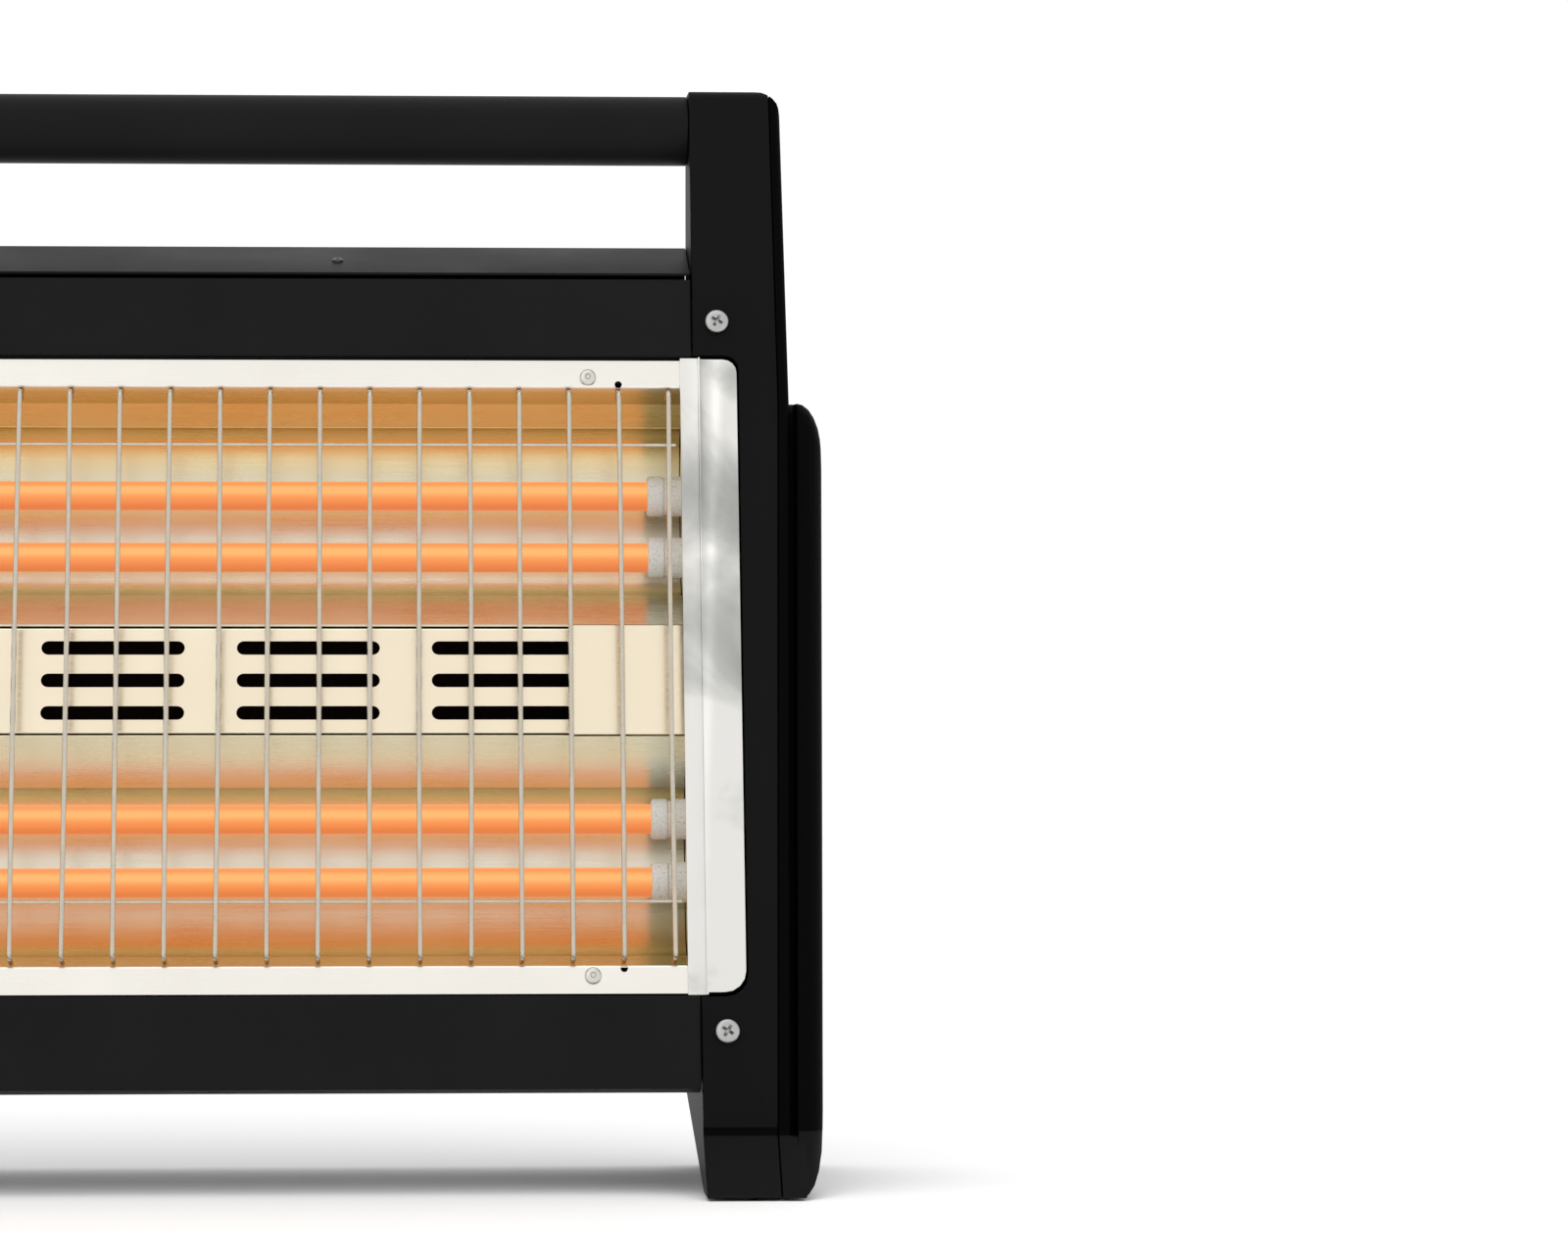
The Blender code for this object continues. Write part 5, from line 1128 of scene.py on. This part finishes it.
def dial():
    """Printed setting marks round the knob's cup: ticks and the figures 0 to 4."""
    low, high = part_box("selector_knob")
    centre = (low + high) / 2
    figures = []
    for setting in range(SETTINGS):
        angle = math.radians(90 + SETTING_TURN * setting)
        spoke = Vector((0, math.cos(angle), math.sin(angle)))
        spot = centre + spoke * (DIAL_RADIUS + 4.6 * MM)
        text = bpy.data.curves.new(f"figure {setting}", "FONT")
        text.body = str(setting)
        text.size = 5.2 * MM
        text.align_x = "CENTER"
        text.align_y = "CENTER"
        text.extrude = 0.02 * MM
        made = bpy.data.objects.new(f"figure_{setting}", text)
        bpy.context.scene.collection.objects.link(made)
        turn = Matrix(((0, 0, -1), (-1, 0, 0), (0, 1, 0)))
        made.matrix_world = Matrix.Translation(
            (outer_face(spot.z) + 0.01 * MM, spot.y, spot.z)) @ turn.to_4x4()
        figures.append(made)
    bpy.context.view_layer.update()
    mesh = bmesh.new()
    for made in figures:
        data = bpy.data.meshes.new_from_object(
            made.evaluated_get(bpy.context.evaluated_depsgraph_get()))
        data.transform(made.matrix_world)
        mesh.from_mesh(data)
        bpy.data.meshes.remove(data)
        bpy.data.objects.remove(made, do_unlink=True)
    for setting in range(SETTINGS):
        angle = math.radians(90 + SETTING_TURN * setting)
        spoke = Vector((0, math.cos(angle), math.sin(angle)))
        cross = Vector((0, -spoke.z, spoke.y))
        ring = [centre + spoke * (DIAL_RADIUS + a * MM) + cross * b * MM
                for a, b in ((-1.6, -0.3), (0.8, -0.3), (0.8, 0.3), (-1.6, 0.3))]
        skin(mesh, [[Vector((outer_face(p.z) + lift, p.y, p.z)) for p in ring]
                    for lift in (0.03 * MM, -0.02 * MM)])
    fit_out(meshed("dial_marks", mesh), INK)


def outer_face(z):
    """X of the left cover's outer face at height z, from the points of its flat face."""
    points = [v.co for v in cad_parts["side_cover_left"].data.vertices
              if v.co.x < -315 * MM]
    face = sorted(points, key=lambda p: p.x)[:40]
    upper = max(face, key=lambda p: p.z)
    lower = min((p for p in face if p.z < upper.z - 100 * MM), key=lambda p: p.x,
                default=min(face, key=lambda p: p.z))
    slope = (upper.x - lower.x) / (upper.z - lower.z)
    return upper.x + slope * (z - upper.z)


def controls():
    knob()
    dial()
    low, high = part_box("selector_shaft")
    centre = (low + high) / 2
    radius = (high.z - low.z) / 2
    length = high.x - low.x
    fit_out(turning("selector_shaft_turned", [
        (radius - 0.4 * MM, 0), (radius, 0.4 * MM), (radius, length - 0.4 * MM),
        (radius - 0.4 * MM, length)], (low.x, centre.y, centre.z), (1, 0, 0), 32),
        SCREW_ZINC, ["selector_shaft"], "selector")
    low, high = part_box("pilot_lamp")
    centre = (low + high) / 2
    radius = (high.z - low.z) / 2
    rings = [(radius * (1 - k / 5), -0.12 * MM * (k % 2) + 0.10 * MM * k / 5) for k in range(1, 5)]
    fit_out(turning("pilot_lamp_lens", [
        (3.2 * MM, -(high.x - low.x)), (3.2 * MM, -0.7 * MM), (radius, -0.7 * MM),
        (radius, -0.35 * MM), (radius - 0.2 * MM, -0.12 * MM)] + [
        (r, z - 0.12 * MM) for r, z in rings], (low.x, centre.y, centre.z), (-1, 0, 0), 40,
        fold=20), AMBER, ["pilot_lamp"])
    low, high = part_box("tip_switch_plunger")
    centre = (low + high) / 2
    foot = (high.x - low.x) / 2
    top = high.z
    fit_out(turning("tip_plunger_turned", [
        (foot - 1.2 * MM, 0), (foot - 0.4 * MM, 0.12 * MM), (foot, 0.6 * MM),
        (foot - 0.15 * MM, 1.4 * MM), (foot - 0.8 * MM, 2.0 * MM), (2.5 * MM, 2.4 * MM),
        (2.5 * MM, top - 12.4 * MM), (1.6 * MM, top - 11.8 * MM), (1.6 * MM, top - 0.5 * MM),
        (1.1 * MM, top)], (centre.x, centre.y, 0), (0, 0, 1), 32), SWITCH_PLASTIC,
        ["tip_switch_plunger"], "plunger")


def inner_parts():
    """Switch bodies, terminal block, gland and conductors inside the left panel."""
    for node, plastic in (("selector_switch_body", SWITCH_PLASTIC),
                          ("tip_switch_body", SWITCH_PLASTIC),
                          ("terminal_block", BLOCK_PLASTIC)):
        pressed_copy(node, 0.5 * MM, plastic, 2, 40)
    pressed_copy("bus_bar", 0.2 * MM, GALVANISED, 1, 40)
    for node, look in (("thermal_cutout", SWITCH_PLASTIC), ("wiring_loom", SLEEVE),
                       ("cable_gland", RUBBER), ("handle_plug_left", SWITCH_PLASTIC),
                       ("handle_plug_right", SWITCH_PLASTIC)):
        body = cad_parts[node]
        body.data.materials.clear()
        body.data.materials.append(look)


# ---- Studio ----

def studio():
    floor = bmesh.new()
    bmesh.ops.create_grid(floor, x_segments=8, y_segments=8, size=30)
    data = bpy.data.meshes.new("studio_floor")
    floor.to_mesh(data)
    floor.free()
    data.materials.append(PAPER)
    made = bpy.data.objects.new("studio_floor", data)
    bpy.context.scene.collection.objects.link(made)

    world = bpy.data.worlds.new("studio")
    bpy.context.scene.world = world
    world.use_nodes = True
    sky = world.node_tree.nodes["Background"]
    sky.inputs["Color"].default_value = (1.0, 1.0, 1.0, 1.0)
    sky.inputs["Strength"].default_value = 1.06

    softbox("overhead", (-0.2, 0.1, 2.6), 2.6, 14)
    softbox("front", (-1.4, -2.4, 1.9), 1.6, 6)


def softbox(name, place, size, power):
    light = bpy.data.lights.new(name, "AREA")
    light.shape = "SQUARE"
    light.size = size
    light.energy = power
    made = bpy.data.objects.new(name, light)
    made.matrix_world = Matrix.Translation(place) @ (
        Vector((0.1, 0, 0.2)) - Vector(place)).to_track_quat("-Z", "Y").to_matrix().to_4x4()
    bpy.context.scene.collection.objects.link(made)


def camera():
    """Square to the front, a little right of the heater's middle, with the heater's right half
    at the left of the frame."""
    data = bpy.data.cameras.new("camera")
    data.sensor_width = 36
    data.lens = 121.75
    data.clip_end = 100
    data.shift_x = 0.10
    made = bpy.data.objects.new("camera", data)
    made.location = (0.1718, -1.9, 0.1816)
    made.rotation_euler = (math.radians(90 + CAMERA_TILT), 0, math.radians(-CAMERA_PAN))
    bpy.context.scene.collection.objects.link(made)
    bpy.context.scene.camera = made
    bpy.context.scene.view_settings.view_transform = "Standard"


camera()
studio()
mouldings()
carry_tube()
case()
reflector()
quartz_tubes()
heating_coils()
ceramic_caps()
guard()
fixings()
controls()
inner_parts()
